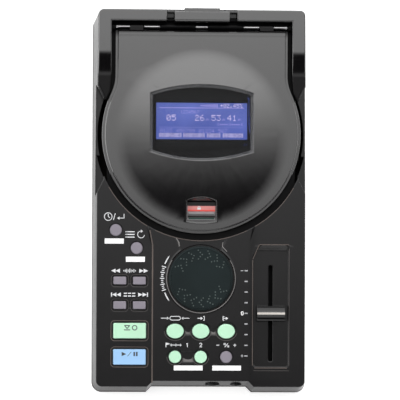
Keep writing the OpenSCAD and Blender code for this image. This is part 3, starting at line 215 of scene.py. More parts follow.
def moulded(name, colour, rough, grain=0.35, relief=0.01, tone=0.12, soft=0, **sockets):
    """Moulded plastic: a fine grain, cloudy gloss and a slight drift of tone."""
    shader = Shader(name, **sockets)
    if soft:
        shader.soften(soft)
    drift = shader.noise(30, 2)
    shader.link(shader.ramp(drift, scaled(colour, 1 - tone), scaled(colour, 1 + tone)), "Base Color")
    shader.link(shader.span(shader.noise(9, 4), rough * 0.88, rough * 1.12), "Roughness")
    shader.bump(shader.noise(grain, 2), relief)
    return shader


def gloss_black(name, dull, full):
    """Polished black moulding with the slight waviness of a mould; its gloss fades out from y = full (mm) to y =
    dull, a painted shade on what lies beyond y = dull.
    """
    shader = moulded(name, srgb(15, 14, 15), 0.14, grain=0.5, relief=0.001, soft=0.6)
    shader.bump(shader.noise(9, 1), 0.006)
    # painted shade: reflection and coat taken away beyond y = dull
    shader.link(shader.along(1, dull, full, 0.2, 1.0), "Specular IOR Level")
    shader.link(shader.along(1, dull, full, 0.0, 1.0), "Coat Weight")
    shader.bsdf.inputs["Coat IOR"].default_value = 1.6
    shader.bsdf.inputs["Coat Roughness"].default_value = 0.1
    return shader.material


def satin_black():
    """Spark-eroded satin black of the case."""
    shader = moulded("satin_black", srgb(15, 14, 15), 0.15, grain=0.28, relief=0.003, soft=0.8)
    shader.bump(shader.cells(0.45), 0.002)
    shader.link(shader.upright(0.006, 0.5), "Specular IOR Level")
    return shader.material


def inner_black():
    """Plain dull black moulding inside the case."""
    shader = moulded("inner_black", srgb(7, 7, 8), 0.45, grain=0.4, relief=0.012)
    shader.bsdf.inputs["Specular IOR Level"].default_value = 0.12
    return shader.material


def base_black():
    """The base's sides: a warmer and duller black than the panel's; its brownish grey is a painted reflection, in
    place of the gloss that is almost all taken away.
    """
    # painted reflection: a brownish grey base colour stands in for what the sides would mirror
    shader = moulded("base_black", srgb(44, 40, 38), 0.3, grain=0.3, relief=0.003, soft=0.5)
    shader.bsdf.inputs["Specular IOR Level"].default_value = 0.008
    return shader.material


def soft_rubber(name, colour, gloss=0.5):
    """Rubber with a fine pebbled skin."""
    shader = moulded(name, colour, 0.5, grain=0.3, relief=0.02, tone=0.16)
    shader.bump(shader.cells(0.6), 0.01)
    shader.bsdf.inputs["Specular IOR Level"].default_value = gloss
    return shader.material


def key_plastic(name, colour):
    """Translucent silicone-like key: light sinks in a little and the face is satin."""
    shader = moulded(name, colour, 0.42, grain=0.25, relief=0.004, tone=0.03)
    shader.bsdf.inputs["Subsurface Weight"].default_value = 0.25
    shader.bsdf.inputs["Subsurface Radius"].default_value = (1.0, 1.0, 1.0)
    shader.bsdf.inputs["Subsurface Scale"].default_value = 0.8 * MM
    return shader.material


# the streaks serve the brushed metal and the hinge pin, whose bright stretches are painted highlights
STREAKS = {"size": 0.12, "stretch": (14, 1, 1)}     # of brushed and of rubbed metal, along x


def brushed(name, colour, rough):
    """Brushed or turned metal."""
    shader = Shader(name, Metallic=1.0)
    streaks = shader.noise(**STREAKS)
    shader.link(shader.ramp(streaks, scaled(colour, 0.82), scaled(colour, 1.05)), "Base Color")
    shader.link(shader.span(streaks, rough * 0.75, rough * 1.3), "Roughness")
    shader.bump(streaks, 0.004)
    return shader.material


# the pin's painted highlights: bright stretches where it shows between the knuckles
PIN_HIGHLIGHTS = [(0.0, 4.2), (34.6, 5.8), (55.5, 4.8)]      # middle and half length, on both sides


def pin_painted_highlights():
    """Dark hinge pin with bright stretches: painted highlights where it shows between the knuckles."""
    shader = Shader("pin_painted_highlights", Metallic=1.0)
    side = arithmetic(shader.tree, "ABSOLUTE", part_of(shader.tree, shader.coords, 0))
    total = None
    for middle, half in PIN_HIGHLIGHTS:
        near = arithmetic(shader.tree, "COMPARE", side, middle * MM, half * MM)
        total = arithmetic(shader.tree, "MAXIMUM", total, near) if total else near
    # painted highlight: bright in the stretches, dark elsewhere
    shader.link(shader.ramp(total, srgb(24, 24, 25), srgb(214, 213, 214)), "Base Color")
    streaks = shader.noise(**STREAKS)
    shader.link(shader.span(streaks, 0.25, 0.4), "Roughness")
    shader.bump(streaks, 0.004)
    return shader.material


def plated():
    """Bright plating, a little cloudy."""
    shader = Shader("plated", Metallic=1.0)
    cloud = shader.noise(2.5, 3)
    shader.link(shader.ramp(cloud, srgb(196, 196, 200), srgb(222, 222, 226)), "Base Color")
    shader.link(shader.span(cloud, 0.12, 0.24), "Roughness")
    shader.bump(shader.noise(0.3, 1), 0.001)
    return shader.material


def smoked_window():
    """Clear cover over the display, faintly smoked."""
    shader = Shader("smoked_window", Transmission_Weight=1.0, IOR=1.0, Coat_Weight=0.3, Coat_Roughness=0.02)
    haze = shader.noise(20, 2)
    shader.link(shader.ramp(haze, srgb(226, 227, 230), srgb(236, 237, 240)), "Base Color")
    shader.link(shader.span(haze, 0.0, 0.02), "Roughness")
    shader.bump(shader.noise(8, 1), 0.003)
    return shader.material


def mask_black():
    """Dull black border behind the window."""
    shader = moulded("mask_black", srgb(15, 15, 16), 0.6, grain=0.6, relief=0.001)
    shader.bsdf.inputs["Specular IOR Level"].default_value = 0.1
    return shader.material


def backlit_blue():
    """Lit display, its blue slightly cloudy across the face."""
    shader = Shader("backlit_blue", Roughness=0.4)
    shader.bsdf.inputs["Base Color"].default_value = srgb(24, 28, 60)
    glow = shader.noise(26, 1, (1.6, 1, 1))
    shader.link(shader.ramp(glow, srgb(68, 88, 174), srgb(86, 103, 188)), "Emission Color")
    shader.bsdf.inputs["Emission Strength"].default_value = 1.0
    shader.bump(shader.cells(0.5), 0.002)
    return shader.material


def ink(name, colour, rough=0.5, glow=0.0):
    """Screen-printed label."""
    shader = moulded(name, colour, rough, grain=0.2, relief=0.004, tone=0.04)
    shader.bsdf.inputs["Emission Color"].default_value = colour
    shader.bsdf.inputs["Emission Strength"].default_value = glow
    return shader.material


MATERIALS = {
    # the lid's gloss fades out towards its rear edge and knuckles: painted shade
    "lid": gloss_black("lid_black", 116.2, 111.5),
    # the rail's gloss fades out on the lower front part of its legs: painted shade
    "gloss": gloss_black("gloss_black", 84, 90),
    "satin": satin_black(),
    "inner": inner_black(),
    "rubber": soft_rubber("rubber", srgb(30, 33, 34)),
    "base": base_black(),
    "dial": soft_rubber("dial_rubber", srgb(24, 33, 34), 0.15),
    # painted shade: black laid where the dishes, the groove round the dial and the latch's gaps fall in shade
    "painted_shade": ink("painted_shade_black", srgb(4, 4, 4), 0.6),
    # painted highlights along the relief's edges, in a middle, a dim and a bright strength
    "highlight": moulded("highlight_painted", srgb(92, 82, 77), 0.35, tone=0.2).material,
    "highlight_painted_dim": moulded("highlight_painted_dim", srgb(66, 62, 61), 0.35, tone=0.2).material,
    "highlight_painted_bright": moulded("highlight_painted_bright", srgb(118, 115, 114), 0.35, tone=0.2).material,
    "grey_key": key_plastic("grey_key", srgb(138, 132, 142)),
    "mint_key": key_plastic("mint_key", srgb(192, 236, 205)),
    "blue_key": key_plastic("blue_key", srgb(162, 204, 244)),
    "steel": brushed("steel", srgb(170, 171, 174), 0.32),
    "pin": pin_painted_highlights(),
    "brass": brushed("brass", srgb(196, 164, 88), 0.3),
    "plated": plated(),
    "board": moulded("board_green", srgb(17, 50, 33), 0.35, grain=1.2, relief=0.008, tone=0.2).material,
    "switch": moulded("switch_plastic", srgb(196, 195, 190), 0.45).material,
    "socket": moulded("socket_black", srgb(26, 26, 28), 0.45).material,
    "acetal": moulded("acetal", srgb(218, 215, 205), 0.35).material,
    "lens": moulded("lens_coating", srgb(72, 92, 160), 0.06).material,
    "window": smoked_window(),
    "mask": mask_black(),
    "screen": backlit_blue(),
    "latch": moulded("latch_grey", srgb(140, 137, 138), 0.34).material,
    "knob": moulded("knob_black", srgb(12, 12, 13), 0.2, grain=0.6, relief=0.002).material,
    "white_ink": ink("white_ink", srgb(225, 226, 228)),
    "line_ink": ink("line_ink", srgb(206, 200, 194)),
    # white of the plates with a faint glow: painted light
    "plate_ink_painted_glow": ink("plate_ink_painted_glow", srgb(250, 250, 250), glow=0.1),
    "dark_ink": ink("dark_ink", srgb(58, 60, 66)),
    "scale_ink": ink("scale_ink", srgb(176, 177, 180)),
    "red_ink": ink("red_ink", srgb(232, 84, 76)),
    "pale_red": ink("pale_red", srgb(222, 140, 136)),
    "screen_dark": ink("screen_dark", srgb(78, 80, 140), glow=0.5),
    "dial_dot": soft_rubber("dial_dot", srgb(64, 76, 74)),
    "green_ink": ink("green_ink", srgb(10, 58, 48)),
    "lit_dots": ink("lit_dots", srgb(188, 174, 200), glow=0.95),
    "mid_dots": ink("mid_dots", srgb(146, 142, 184), glow=0.45),
    "faint_dots": ink("faint_dots", srgb(122, 116, 172), glow=1.0),
}

# ------------------------------------------------------------------ CAD nodes: finish and edge rounding

FINISH = {
    "lid": ["lid_shell"],
    "gloss": ["rear_frame", "hinge_cap", "rear_hook"],
    "satin": ["top_cover"],
    "base": ["bottom_case"],
    "inner": ["disc_well", "lid_liner", "fader_body", "connector_plate"],
    "rubber": ["rubber_feet", "dampers"],
    "dial": ["jog_dial", "jog_pad"],
    "grey_key": ["time_button", "mode_button", "search_back_button", "search_forward_button",
                 "skip_back_button", "skip_forward_button", "tempo_button"],
    "mint_key": ["cue_button", "reloop_button", "loop_in_button", "loop_out_button",
                 "hot_cue_1_button", "hot_cue_2_button"],
    "blue_key": ["play_button"],
    "pin": ["hinge_pin"],
    "steel": ["mech_chassis", "guide_rods", "spindle_motor", "sled_motor",
              "fader_lever", "jog_encoder", "jog_shaft", "level_pot"],
    "brass": ["motor_pinion"],
    "plated": ["phono_jacks", "hub_balls", "case_screws", "mech_screws", "lid_screws"],
    "board": ["main_board", "panel_board"],
    "switch": ["key_switches"],
    "socket": ["turntable_hub", "pickup_sled", "power_jack", "switch_housing",
               "phones_jack", "level_knob", "power_rocker"],
    "acetal": ["sled_gear"],
    "lens": ["pickup_lens"],
    "window": ["display_window"],
    "mask": ["display_mask"],
    "screen": ["lcd_panel"],
    "latch": ["latch_slider"],
    "knob": ["fader_knob"],
}
# widths of the fillets, in millimetres
EDGE = {"top_cover": 0.3, "lid_shell": 0.4, "rear_frame": 0.6, "hinge_cap": 0.4, "bottom_case": 0.4,
        "jog_dial": 0.2, "fader_knob": 0.3, "display_window": 0.15}
BUTTON_EDGE = 0.4
SMALL_EDGE = 0.12
NO_EDGE = ("sled_gear", "motor_pinion", "hub_balls", "main_board", "panel_board", "display_mask", "lcd_panel")
EDGE_SEGMENTS = 3
SHARP = math.radians(30)    # edges that turn further than this are filleted
FLAT = math.radians(0.3)    # faces that turn less than this are joined first


def round_edges(obj, width):
    """Small fillets along the sharp edges, with the flat faces left flat."""
    if "custom_normal" in obj.data.attributes:
        obj.data.attributes.remove(obj.data.attributes["custom_normal"])
    obj.data.polygons.foreach_set("use_smooth", [True] * len(obj.data.polygons))
    weld = obj.modifiers.new("weld", "WELD")
    weld.merge_threshold = 1e-6
    if width:
        flats = obj.modifiers.new("flats", "DECIMATE")
        flats.decimate_type = "DISSOLVE"
        flats.angle_limit = FLAT
        edges = obj.modifiers.new("edges", "BEVEL")
        edges.width = width * MM
        edges.segments = EDGE_SEGMENTS
        edges.limit_method = "ANGLE"
        edges.angle_limit = SHARP
        edges.use_clamp_overlap = False
        edges.harden_normals = True
    normals = obj.modifiers.new("normals", "WEIGHTED_NORMAL")
    normals.keep_sharp = True


def finish_nodes():
    """Gives every CAD node its material and its fillets."""
    for key, nodes in FINISH.items():
        for node in nodes:
            obj = frame["nodes"][node]
            obj.data.materials.clear()
            obj.data.materials.append(MATERIALS[key])
            width = EDGE.get(node, BUTTON_EDGE if node in BUTTONS else SMALL_EDGE)
            round_edges(obj, 0 if node in NO_EDGE else width)


# ------------------------------------------------------------------ printed marks


class Marks:
    """Flat marks on one surface of the panel's frame, each a thin closed solid."""

    def __init__(self, name, material, body, level, thickness=INK, centre=(0, 0)):
        self.name = name
        self.material = material
        self.body = body
        self.level = level
        self.thickness = thickness
        self.centre = centre
        self.mesh = bmesh.new()

    def vertex(self, point, w):
        """A vertex at a (u, v) point round the marks' centre."""
        return self.mesh.verts.new(on_panel(self.centre[0] + point[0], self.centre[1] + point[1], w))

    def skin(self, here, there):
        """Faces between two closed rings of vertices."""
        for i in range(len(here)):
            j = (i + 1) % len(here)
            self.mesh.faces.new((here[i], here[j], there[j], there[i]))

    def section(self, inner, outer):
        """The four corners of a band's section between two points."""
        low, high = self.level, self.level + self.thickness
        return [self.vertex(point, w) for point, w in ((inner, low), (outer, low), (outer, high), (inner, high))]

    def polygon(self, points):
        """A prism over a polygon of (u, v) points, drawn anticlockwise."""
        low, high = ([self.vertex(point, w) for point in points] for w in (self.level, self.level + self.thickness))
        self.mesh.faces.new(high)
        self.mesh.faces.new(low[::-1])
        self.skin(low, high)

    def bar(self, u, v, width, height):
        """An upright rectangle with its middle at u, v."""
        w, h = width / 2, height / 2
        self.polygon([(u - w, v - h), (u + w, v - h), (u + w, v + h), (u - w, v + h)])

    def line(self, start, end, width):
        """A straight stroke with square ends."""
        (u0, v0), (u1, v1) = start, end
        length = math.hypot(u1 - u0, v1 - v0)
        du, dv = -(v1 - v0) / length * width / 2, (u1 - u0) / length * width / 2
        self.polygon([(u0 - du, v0 - dv), (u1 - du, v1 - dv), (u1 + du, v1 + dv), (u0 + du, v0 + dv)])

    def arc(self, centre, radius, start, end, width, steps=24):
        """A band along an arc, with its angles in degrees. A full turn closes into a ring."""
        closed = abs(end - start) >= 360
        rows = []
        for i in range(steps if closed else steps + 1):
            angle = math.radians(start + (end - start) * i / steps)
            inner, outer = (polar(radius + side * width / 2, angle, centre) for side in (-1, 1))
            rows.append(self.section(inner, outer))
        for here, there in zip(rows, rows[1:] + (rows[:1] if closed else [])):
            self.skin(here, there)
        if not closed:
            self.mesh.faces.new(rows[0][::-1])
            self.mesh.faces.new(rows[-1])

    def band(self, outer, inner):
        """A closed band between two outlines with the same number of points."""
        rows = [self.section(near, far) for near, far in zip(inner, outer)]
        for here, there in zip(rows, rows[1:] + rows[:1]):
            self.skin(here, there)

    def triangle(self, u, v, width, height, direction=1):
        """A triangle that points right, or left where direction is -1, with its middle at u, v."""
        tip, back = u + direction * width / 2, u - direction * width / 2
        points = [(tip, v), (back, v + height / 2), (back, v - height / 2)]
        self.polygon(points if direction > 0 else points[::-1])

    def stud(self, u, v, radius, steps=10):
        """A low raised dot with a rounded top."""
        rings = []
        for share, height in ((1, 0), (0.9, 0.6), (0.5, 1)):
            rings.append([self.vertex(polar(radius * share, 2 * math.pi * i / steps, (u, v)),
                                      self.level + self.thickness * height) for i in range(steps)])
        self.mesh.faces.new(rings[0][::-1])
        self.mesh.faces.new(rings[-1])
        for low, high in zip(rings, rings[1:]):
            self.skin(low, high)

    def done(self):
        """Makes the gathered marks one object that rides on their body."""
        bmesh.ops.recalc_face_normals(self.mesh, faces=self.mesh.faces)
        data = bpy.data.meshes.new(self.name)
        self.mesh.to_mesh(data)
        self.mesh.free()
        obj = bpy.data.objects.new(self.name, data)
        bpy.context.scene.collection.objects.link(obj)
        data.materials.append(MATERIALS[self.material])
        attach(obj, self.body)


DIGITS = {  # five columns by seven rows, as on any dot display
    "0": "01110 10001 10011 10101 11001 10001 01110", "1": "00100 01100 00100 00100 00100 00100 01110",
    "2": "01110 10001 00001 00110 01000 10000 11111", "3": "11111 00010 00100 00010 00001 10001 01110",
    "4": "00010 00110 01010 10010 11111 00010 00010", "5": "11111 10000 11110 00001 00001 10001 01110",
    "6": "00110 01000 10000 11110 10001 10001 01110", "7": "11111 00001 00010 00100 01000 01000 01000",
    "8": "01110 10001 10001 01110 10001 10001 01110", "9": "01110 10001 10001 01111 00001 00010 01100",
    ".": "00000 00000 00000 00000 00000 01100 01100", "+": "00000 00100 00100 11111 00100 00100 00000",
    "%": "11000 11001 00010 00100 01000 10011 00011", " ": "00000 00000 00000 00000 00000 00000 00000",
}


def dot_text(marks, text, u, v, pitch, fill=0.86):
    """Dot-matrix characters with their upper left corner at u, v. Runs of dots in a row are one bar."""
    for place, character in enumerate(text):
        left = u + place * 6 * pitch
        for row, bits in enumerate(DIGITS[character].split()):
            column = 0
            while column < 5:
                if bits[column] == "0":
                    column += 1
                    continue
                end = column
                while end < 5 and bits[end] == "1":
                    end += 1
                width = (end - column - 1 + fill) * pitch
                marks.bar(left + (column + end) / 2 * pitch, v - (row + 0.5) * pitch, width, fill * pitch)
                column = end


def stroke_digit(marks, digit, u, v, height, width):
    """A plain digit drawn with strokes, with its middle at u, v."""
    h = height / 2
    r = height * 0.26
    if digit == "0":
        marks.arc((u, v + h - r), r, 0, 180, width, 10)
        marks.arc((u, v - h + r), r, 180, 360, width, 10)
        for side in (-1, 1):
            marks.bar(u + side * r, v, width, 2 * (h - r))
    elif digit == "1":
        marks.bar(u, v, width, height)
        marks.line((u - r, v + h - r), (u, v + h), width)
    elif digit == "2":
        marks.arc((u, v + h - r), r, -30, 180, width, 10)
        marks.line((u + r * 0.87, v + h - r * 1.5), (u - r, v - h + width / 2), width)
        marks.bar(u, v - h + width / 2, 2 * r + width, width)


def label_plates():
    """Bare white plates under the keys that have a second function, with a faint painted glow."""
    plates = Marks("label_plates", "plate_ink_painted_glow", "case", 0.0)
    plates.bar(-61.0, 101.9, 13.4, 3.6)
    plates.bar(-46.1, 89.2, 13.3, 3.6)
    plates.level = CENTRE_RISE
    plates.bar(-8.7, 13.2, 20.2, 3.4)
    plates.bar(18.3, 13.2, 20.1, 3.4)
    plates.done()


def key_labels():
    """Pictograms beside the keys."""
    label = Marks("key_labels", "white_ink", "case", 0.0)
    fine = 0.5

    # a clock and a return arrow over the time key
    label.arc((-65.3, 119.0), 2.7, 0, 360, fine)
    label.line((-65.3, 119.0), (-65.3, 121.0), fine)
    label.line((-65.3, 119.0), (-64.0, 118.2), fine)
    label.line((-61.7, 116.7), (-60.3, 121.3), fine)
    label.bar(-56.0, 118.0, 4.2, fine)
    label.bar(-54.2, 119.4, fine, 3.2)
    label.triangle(-58.2, 118.0, 1.6, 2.4, -1)

    # a list and a turning arrow over the mode key
    for row in range(3):
        label.bar(-49.3, 104.7 + 1.9 * row, 5.2, 0.7)
        label.bar(-52.7, 104.7 + 1.9 * row, 0.8, 0.7)
    label.arc((-42.2, 106.6), 2.4, 60, 350, fine)
    label.triangle(-41.6, 108.9, 1.7, 2.2, 1)

    # search: double triangles round a row of uneven strokes
    middle, row = -50.1, 81.1
    for side in (-1, 1):
        for place in (8.3, 11.4):
            label.triangle(middle + side * place, row, 3.1, 2.9, side)
    for place, height in enumerate((1.0, 1.8, 2.8, 1.6, 3.0, 2.2, 1.2, 2.4, 1.0)):
        label.bar(middle - 4.0 + place, row, 0.5, height)

    # skip: double triangles with end bars round three blocks
    row = 64.4
    for side in (-1, 1):
        for place in (7.6, 10.7):
            label.triangle(middle + side * place, row, 3.1, 2.9, side)
        label.bar(middle + side * 12.6, row, 0.75, 2.9)
    for place in (-2.9, 0, 2.9):
        label.bar(middle + place, row + 0.9, 2.2, 0.8)
        label.bar(middle + place, row - 1.0, 2.2, 0.8)

    # loop keys: a loop, an arrow in and an arrow out
    label.level = CENTRE_RISE
    middle, row = -18.0, 48.0
    for side in (-1, 1):
        start = 90 - 180 * (side > 0)
        label.arc((middle + side * 2.4, row), 1.3, start, start + 180, fine, 10)
        label.bar(middle + side * 7.4, row, 5.2, fine)
        label.triangle(middle + side * 5.0, row, 1.5, 1.9, -side)
        label.bar(middle, row + side * 1.3, 4.8, fine)
    for u, side in ((0.2, 1), (17.9, -1)):
        label.bar(u + 2.3 * side, row, fine, 3.0)
        label.bar(u + 1.9 * side, row + 1.3, 1.0, fine)
        label.bar(u + 1.9 * side, row - 1.3, 1.0, fine)
        label.bar(u - 1.3, row, 2.4, fine)
        label.triangle(u + 0.5, row, 1.7, 2.2, 1)

    # hot cue keys: a flag with their numbers
    row = 29.2
    label.bar(-24.4, row, fine, 3.2)
    label.triangle(-22.7, row + 0.8, 2.9, 1.8, 1)
    label.bar(-17.4, row, 8.2, fine)
    for place in (-20.6, -17.4, -14.2):
        label.bar(place, row, fine, 1.8)
    stroke_digit(label, "1", -9.3, row, 2.9, fine)
    stroke_digit(label, "2", 0.0, row, 2.9, fine)

    # tempo key: a measure of speed
    middle = 18.0
    for side in (-1, 1):
        label.bar(middle + side * 6.0, row, 1.9, fine)
        label.bar(middle + side * 1.7, row - side * 0.8, fine, 1.3)
        label.arc((middle - side * 1.1, row + side * 0.85), 0.5, 0, 360, 0.4, 8)
    label.bar(middle + 6.0, row, fine, 1.9)
    label.line((middle - 1.1, row - 1.3), (middle + 1.1, row + 1.3), 0.45)
    label.done()


def dial_label():
    """Tapered bands round the dial's left side, with a row of ticks between them."""
    label = Marks("dial_label", "white_ink", "case", CENTRE_RISE, centre=(0.1, DIAL_V))
    for side in (-1, 1):
        outer, inner = [], []
        for step in range(9):
            angle = math.radians(180 + side * (21.5 + 14 * step / 8))
            half = 0.42 * min(1.0, (8 - step) / 2.5 + 0.1)
            outer.append(polar(TICK_RADIUS + half, angle))
            inner.append(polar(TICK_RADIUS - half, angle))
        label.polygon(outer + inner[::-1])
    for step in range(-6, 7):
        angle = math.radians(180 + 2.9 * step)
        half = 1.5 if step % 3 == 0 else 0.8
        label.line(polar(TICK_RADIUS - half, angle), polar(TICK_RADIUS + half, angle), 0.62)
    label.done()


def tempo_scale():
    """Dashes along the fader, with a minus, a nought and a plus."""
    label = Marks("tempo_scale", "scale_ink", "case", CENTRE_RISE)
    top, signs = 81.5, 29.1
    for step in range(9):
        label.bar(31.8, top - SCALE_STEP * step, 2.2, 0.85)
    label.bar(signs - 0.3, top, 1.8, 0.6)
    label.bar(signs, top - SCALE_STEP * 8, 1.7, 0.55)
    label.bar(signs, top - SCALE_STEP * 8, 0.55, 1.7)
    label.done()
    # the nought takes the plates' white with its faint painted glow
    nought = Marks("tempo_nought", "plate_ink_painted_glow", "case", CENTRE_RISE)
    stroke_digit(nought, "0", signs, top - SCALE_STEP * 4, 2.5, 0.5)
    nought.done()


def big_key_marks():
    """A cue sign and the play and pause sign, each on its own key."""
    cue = Marks("cue_mark", "dark_ink", "cue", PAD_TOP)
    cue.line((-53.4, 42.7), (-51.7, 40.6), 0.6)
    cue.line((-50.0, 42.7), (-51.7, 40.6), 0.6)
    cue.bar(-51.7, 42.7, 4.0, 0.6)
    cue.bar(-51.7, 39.7, 4.4, 0.6)
    cue.arc((-46.4, 41.2), 1.6, 0, 360, 0.6, 20)
    cue.done()
    play = Marks("play_mark", "dark_ink", "play", PAD_TOP)
    play.triangle(-53.8, 22.8, 3.2, 2.9, 1)
    play.line((-51.3, 21.3), (-48.7, 24.3), 0.35)
    for u in (-46.6, -44.8):
        play.bar(u, 22.8, 1.1, 2.9)
    play.done()


def dial_studs():
    """Raised dots of the dial in chevrons that point clockwise, over and under its bare middle."""
    dots = Marks("dial_studs", "dial_dot", "jog", PAD_LEVEL, thickness=0.3, centre=(0, DIAL_V))
    for middle in (87.5, 266):
        for group in range(-3, 4):
            tip = middle + 20 * group
            for out, back in ((0, 0), (1.5, 4.5), (3.0, 8.5), (-1.5, 5), (-3.0, 10.5)):
                dots.stud(*polar(STUD_RADIUS + out, math.radians(tip + back)), 0.5)
    dots.done()


def fader_line():
    """The white line across the fader's knob."""
    line = Marks("fader_line", "line_ink", "fader", KNOB_LEVEL - 0.05, thickness=0.2)
    line.bar(FADER_U, FADER_V, 19.4, 1.5)
    line.done()


def latch_marks():
    """Red bands with a lock sign behind the latch's ridge, a dark green edge, and black strips of painted shade in
    its well and in the gap behind it.
    """

    def strip(name, material, v, width, height, thickness=INK, body="latch", level=SLIDER_LEVEL):
        marks = Marks(name, material, body, level, thickness)
        marks.bar(LATCH_U, v, width, height)
        marks.done()

    strip("latch_band", "pale_red", 125.0, 19.4, 3.6)
    strip("latch_stripe", "red_ink", 123.6, 19.2, 1.1, INK * 2)
    sign = Marks("latch_sign", "white_ink", "latch", SLIDER_LEVEL, thickness=INK * 2)
    sign.bar(-1.6, 124.9, 2.4, 1.4)
    sign.arc((-1.6, 125.6), 0.8, 0, 180, 0.45, 8)
    sign.done()
    # painted shade: a black strip at the front of the well and one in the gap behind the latch
    strip("latch_front", "painted_shade", 119.3, 19.4, 1.4)
    strip("latch_gap", "painted_shade", 128.2, 20.0, 2.6, body="lid", level=SLIDER_LEVEL + 0.1)
    strip("latch_edge", "green_ink", 118.0, 18.0, 1.0)


def display_figures():
    """What the display shows: generic figures, bars and blocks."""
    left, top = -SCREEN_W / 2, SCREEN_V + SCREEN_H / 2
    lit = Marks("display_bright", "lit_dots", "lid", SCREEN_LEVEL, centre=(left, top))
    mid = Marks("display_blocks", "mid_dots", "lid", SCREEN_LEVEL, centre=(left, top))
    dim = Marks("display_dim", "faint_dots", "lid", SCREEN_LEVEL, centre=(left, top))
    dark = Marks("display_dark", "screen_dark", "lid", SCREEN_LEVEL, thickness=INK * 2, centre=(left, top))

    # the top line, with a speed at its right end and a rule under it
    dot_text(lit, "+02.45%", 45.0, -0.5, 0.38)
    for step in range(9):
        dim.bar(31.5 + step * 1.4, -1.9, 0.9, 1.0 + 0.18 * step)
    dim.bar(32.0, -3.55, 59.5, 0.5)

    # a short row of small figures over the time
    dot_text(dim, "1234567", 17.0, -5.3, 0.32, 0.8)

    # track and time in large figures, with small unit marks after them
    for text, u in (("05", 7.2), ("26", 27.2), ("53", 38.8), ("41", 50.0)):
        dot_text(lit, text, u, -8.4, 0.6, 0.72)
    for u in (35.2, 46.6, 57.6):
        dim.line((u, -12.4), (u + 0.8, -10.9), 0.5)
        dim.line((u + 1.4, -12.4), (u + 1.4, -11.2), 0.4)

    # two bracketed meters at the right
    for u in (43.5, 52.0, 60.3):
        dim.bar(u, -15.1, 0.45, 2.2)
    for u in (45.2, 53.7):
        for step in range(4):
            dim.bar(u + step * 1.5, -15.1, 0.9, 0.9)

    # a dotted rule and a faint line of figures
    for step in range(38):
        dim.bar(3.0 + step * 1.55, -17.3, 0.7, 0.3)
    dot_text(dim, "0123 456789 01234 567", 2.6, -18.3, 0.38, 0.8)

    # the keys' functions as bright blocks with dark figures
    for start, end, text in ((2.0, 17.9, "10 25 4"), (18.9, 34.2, "31 60 2"),
                             (35.6, 45.2, "7 08"), (46.8, 61.2, "12 936")):
        mid.bar((start + end) / 2, -22.8, end - start, 2.9)
        dot_text(dark, text, start + 0.7, -21.6, (end - start - 1.2) / (6 * len(text)), 0.8)
    for marks in (lit, mid, dim, dark):
        marks.done()


def cap_outline(node, grow):
    """Outline of a key's cap, grown by `grow`: a rounded rectangle for a square key, else an ellipse."""
    points = [vertex.co - PANEL_ORIGIN for vertex in frame["nodes"][node].data.vertices]
    top = [point / MM for point in points if point.dot(NORMAL) > CAP_LEVEL * MM]
    us, vs = [point.dot(ACROSS) for point in top], [point.dot(UP_SLOPE) for point in top]
    u, v = (min(us) + max(us)) / 2, (min(vs) + max(vs)) / 2
    half_u, half_v = (max(us) - min(us)) / 2 + grow, (max(vs) - min(vs)) / 2 + grow
    corner = CAP_CORNER + grow
    square = node in SQUARE_KEYS
    steps = 8 if square else 9      # points in a quarter
    result = []
    for quarter, (side_u, side_v) in enumerate(((1, 1), (-1, 1), (-1, -1), (1, -1))):
        for step in range(steps):
            angle = math.radians(90 * (quarter + step / steps))
            if square:
                result.append(polar(corner, angle, (u + side_u * (half_u - corner), v + side_v * (half_v - corner))))
            else:
                result.append((u + half_u * math.cos(angle), v + half_v * math.sin(angle)))
    return result


def painted_dish_shade():
    """Painted shade: black in the dishes, in the channels between keys and round the dial."""
    low = Marks("painted_dish_shade", "painted_shade", "case", -DISH)
    for node in SQUARE_KEYS:
        low.band(cap_outline(node, 1.33), cap_outline(node, 0.35))
    for v in (73.9, 57.2):
        low.bar(-49.9, v, 3.2, 5.4)
    low.level = CENTRE_RISE - DISH
    for node in OVAL_KEYS:
        low.band(cap_outline(node, 1.03), cap_outline(node, 0.35))
    low.level = 0.4
    low.arc((0, DIAL_V), GROOVE_RADIUS, 0, 360, 0.7, 64)
    low.done()


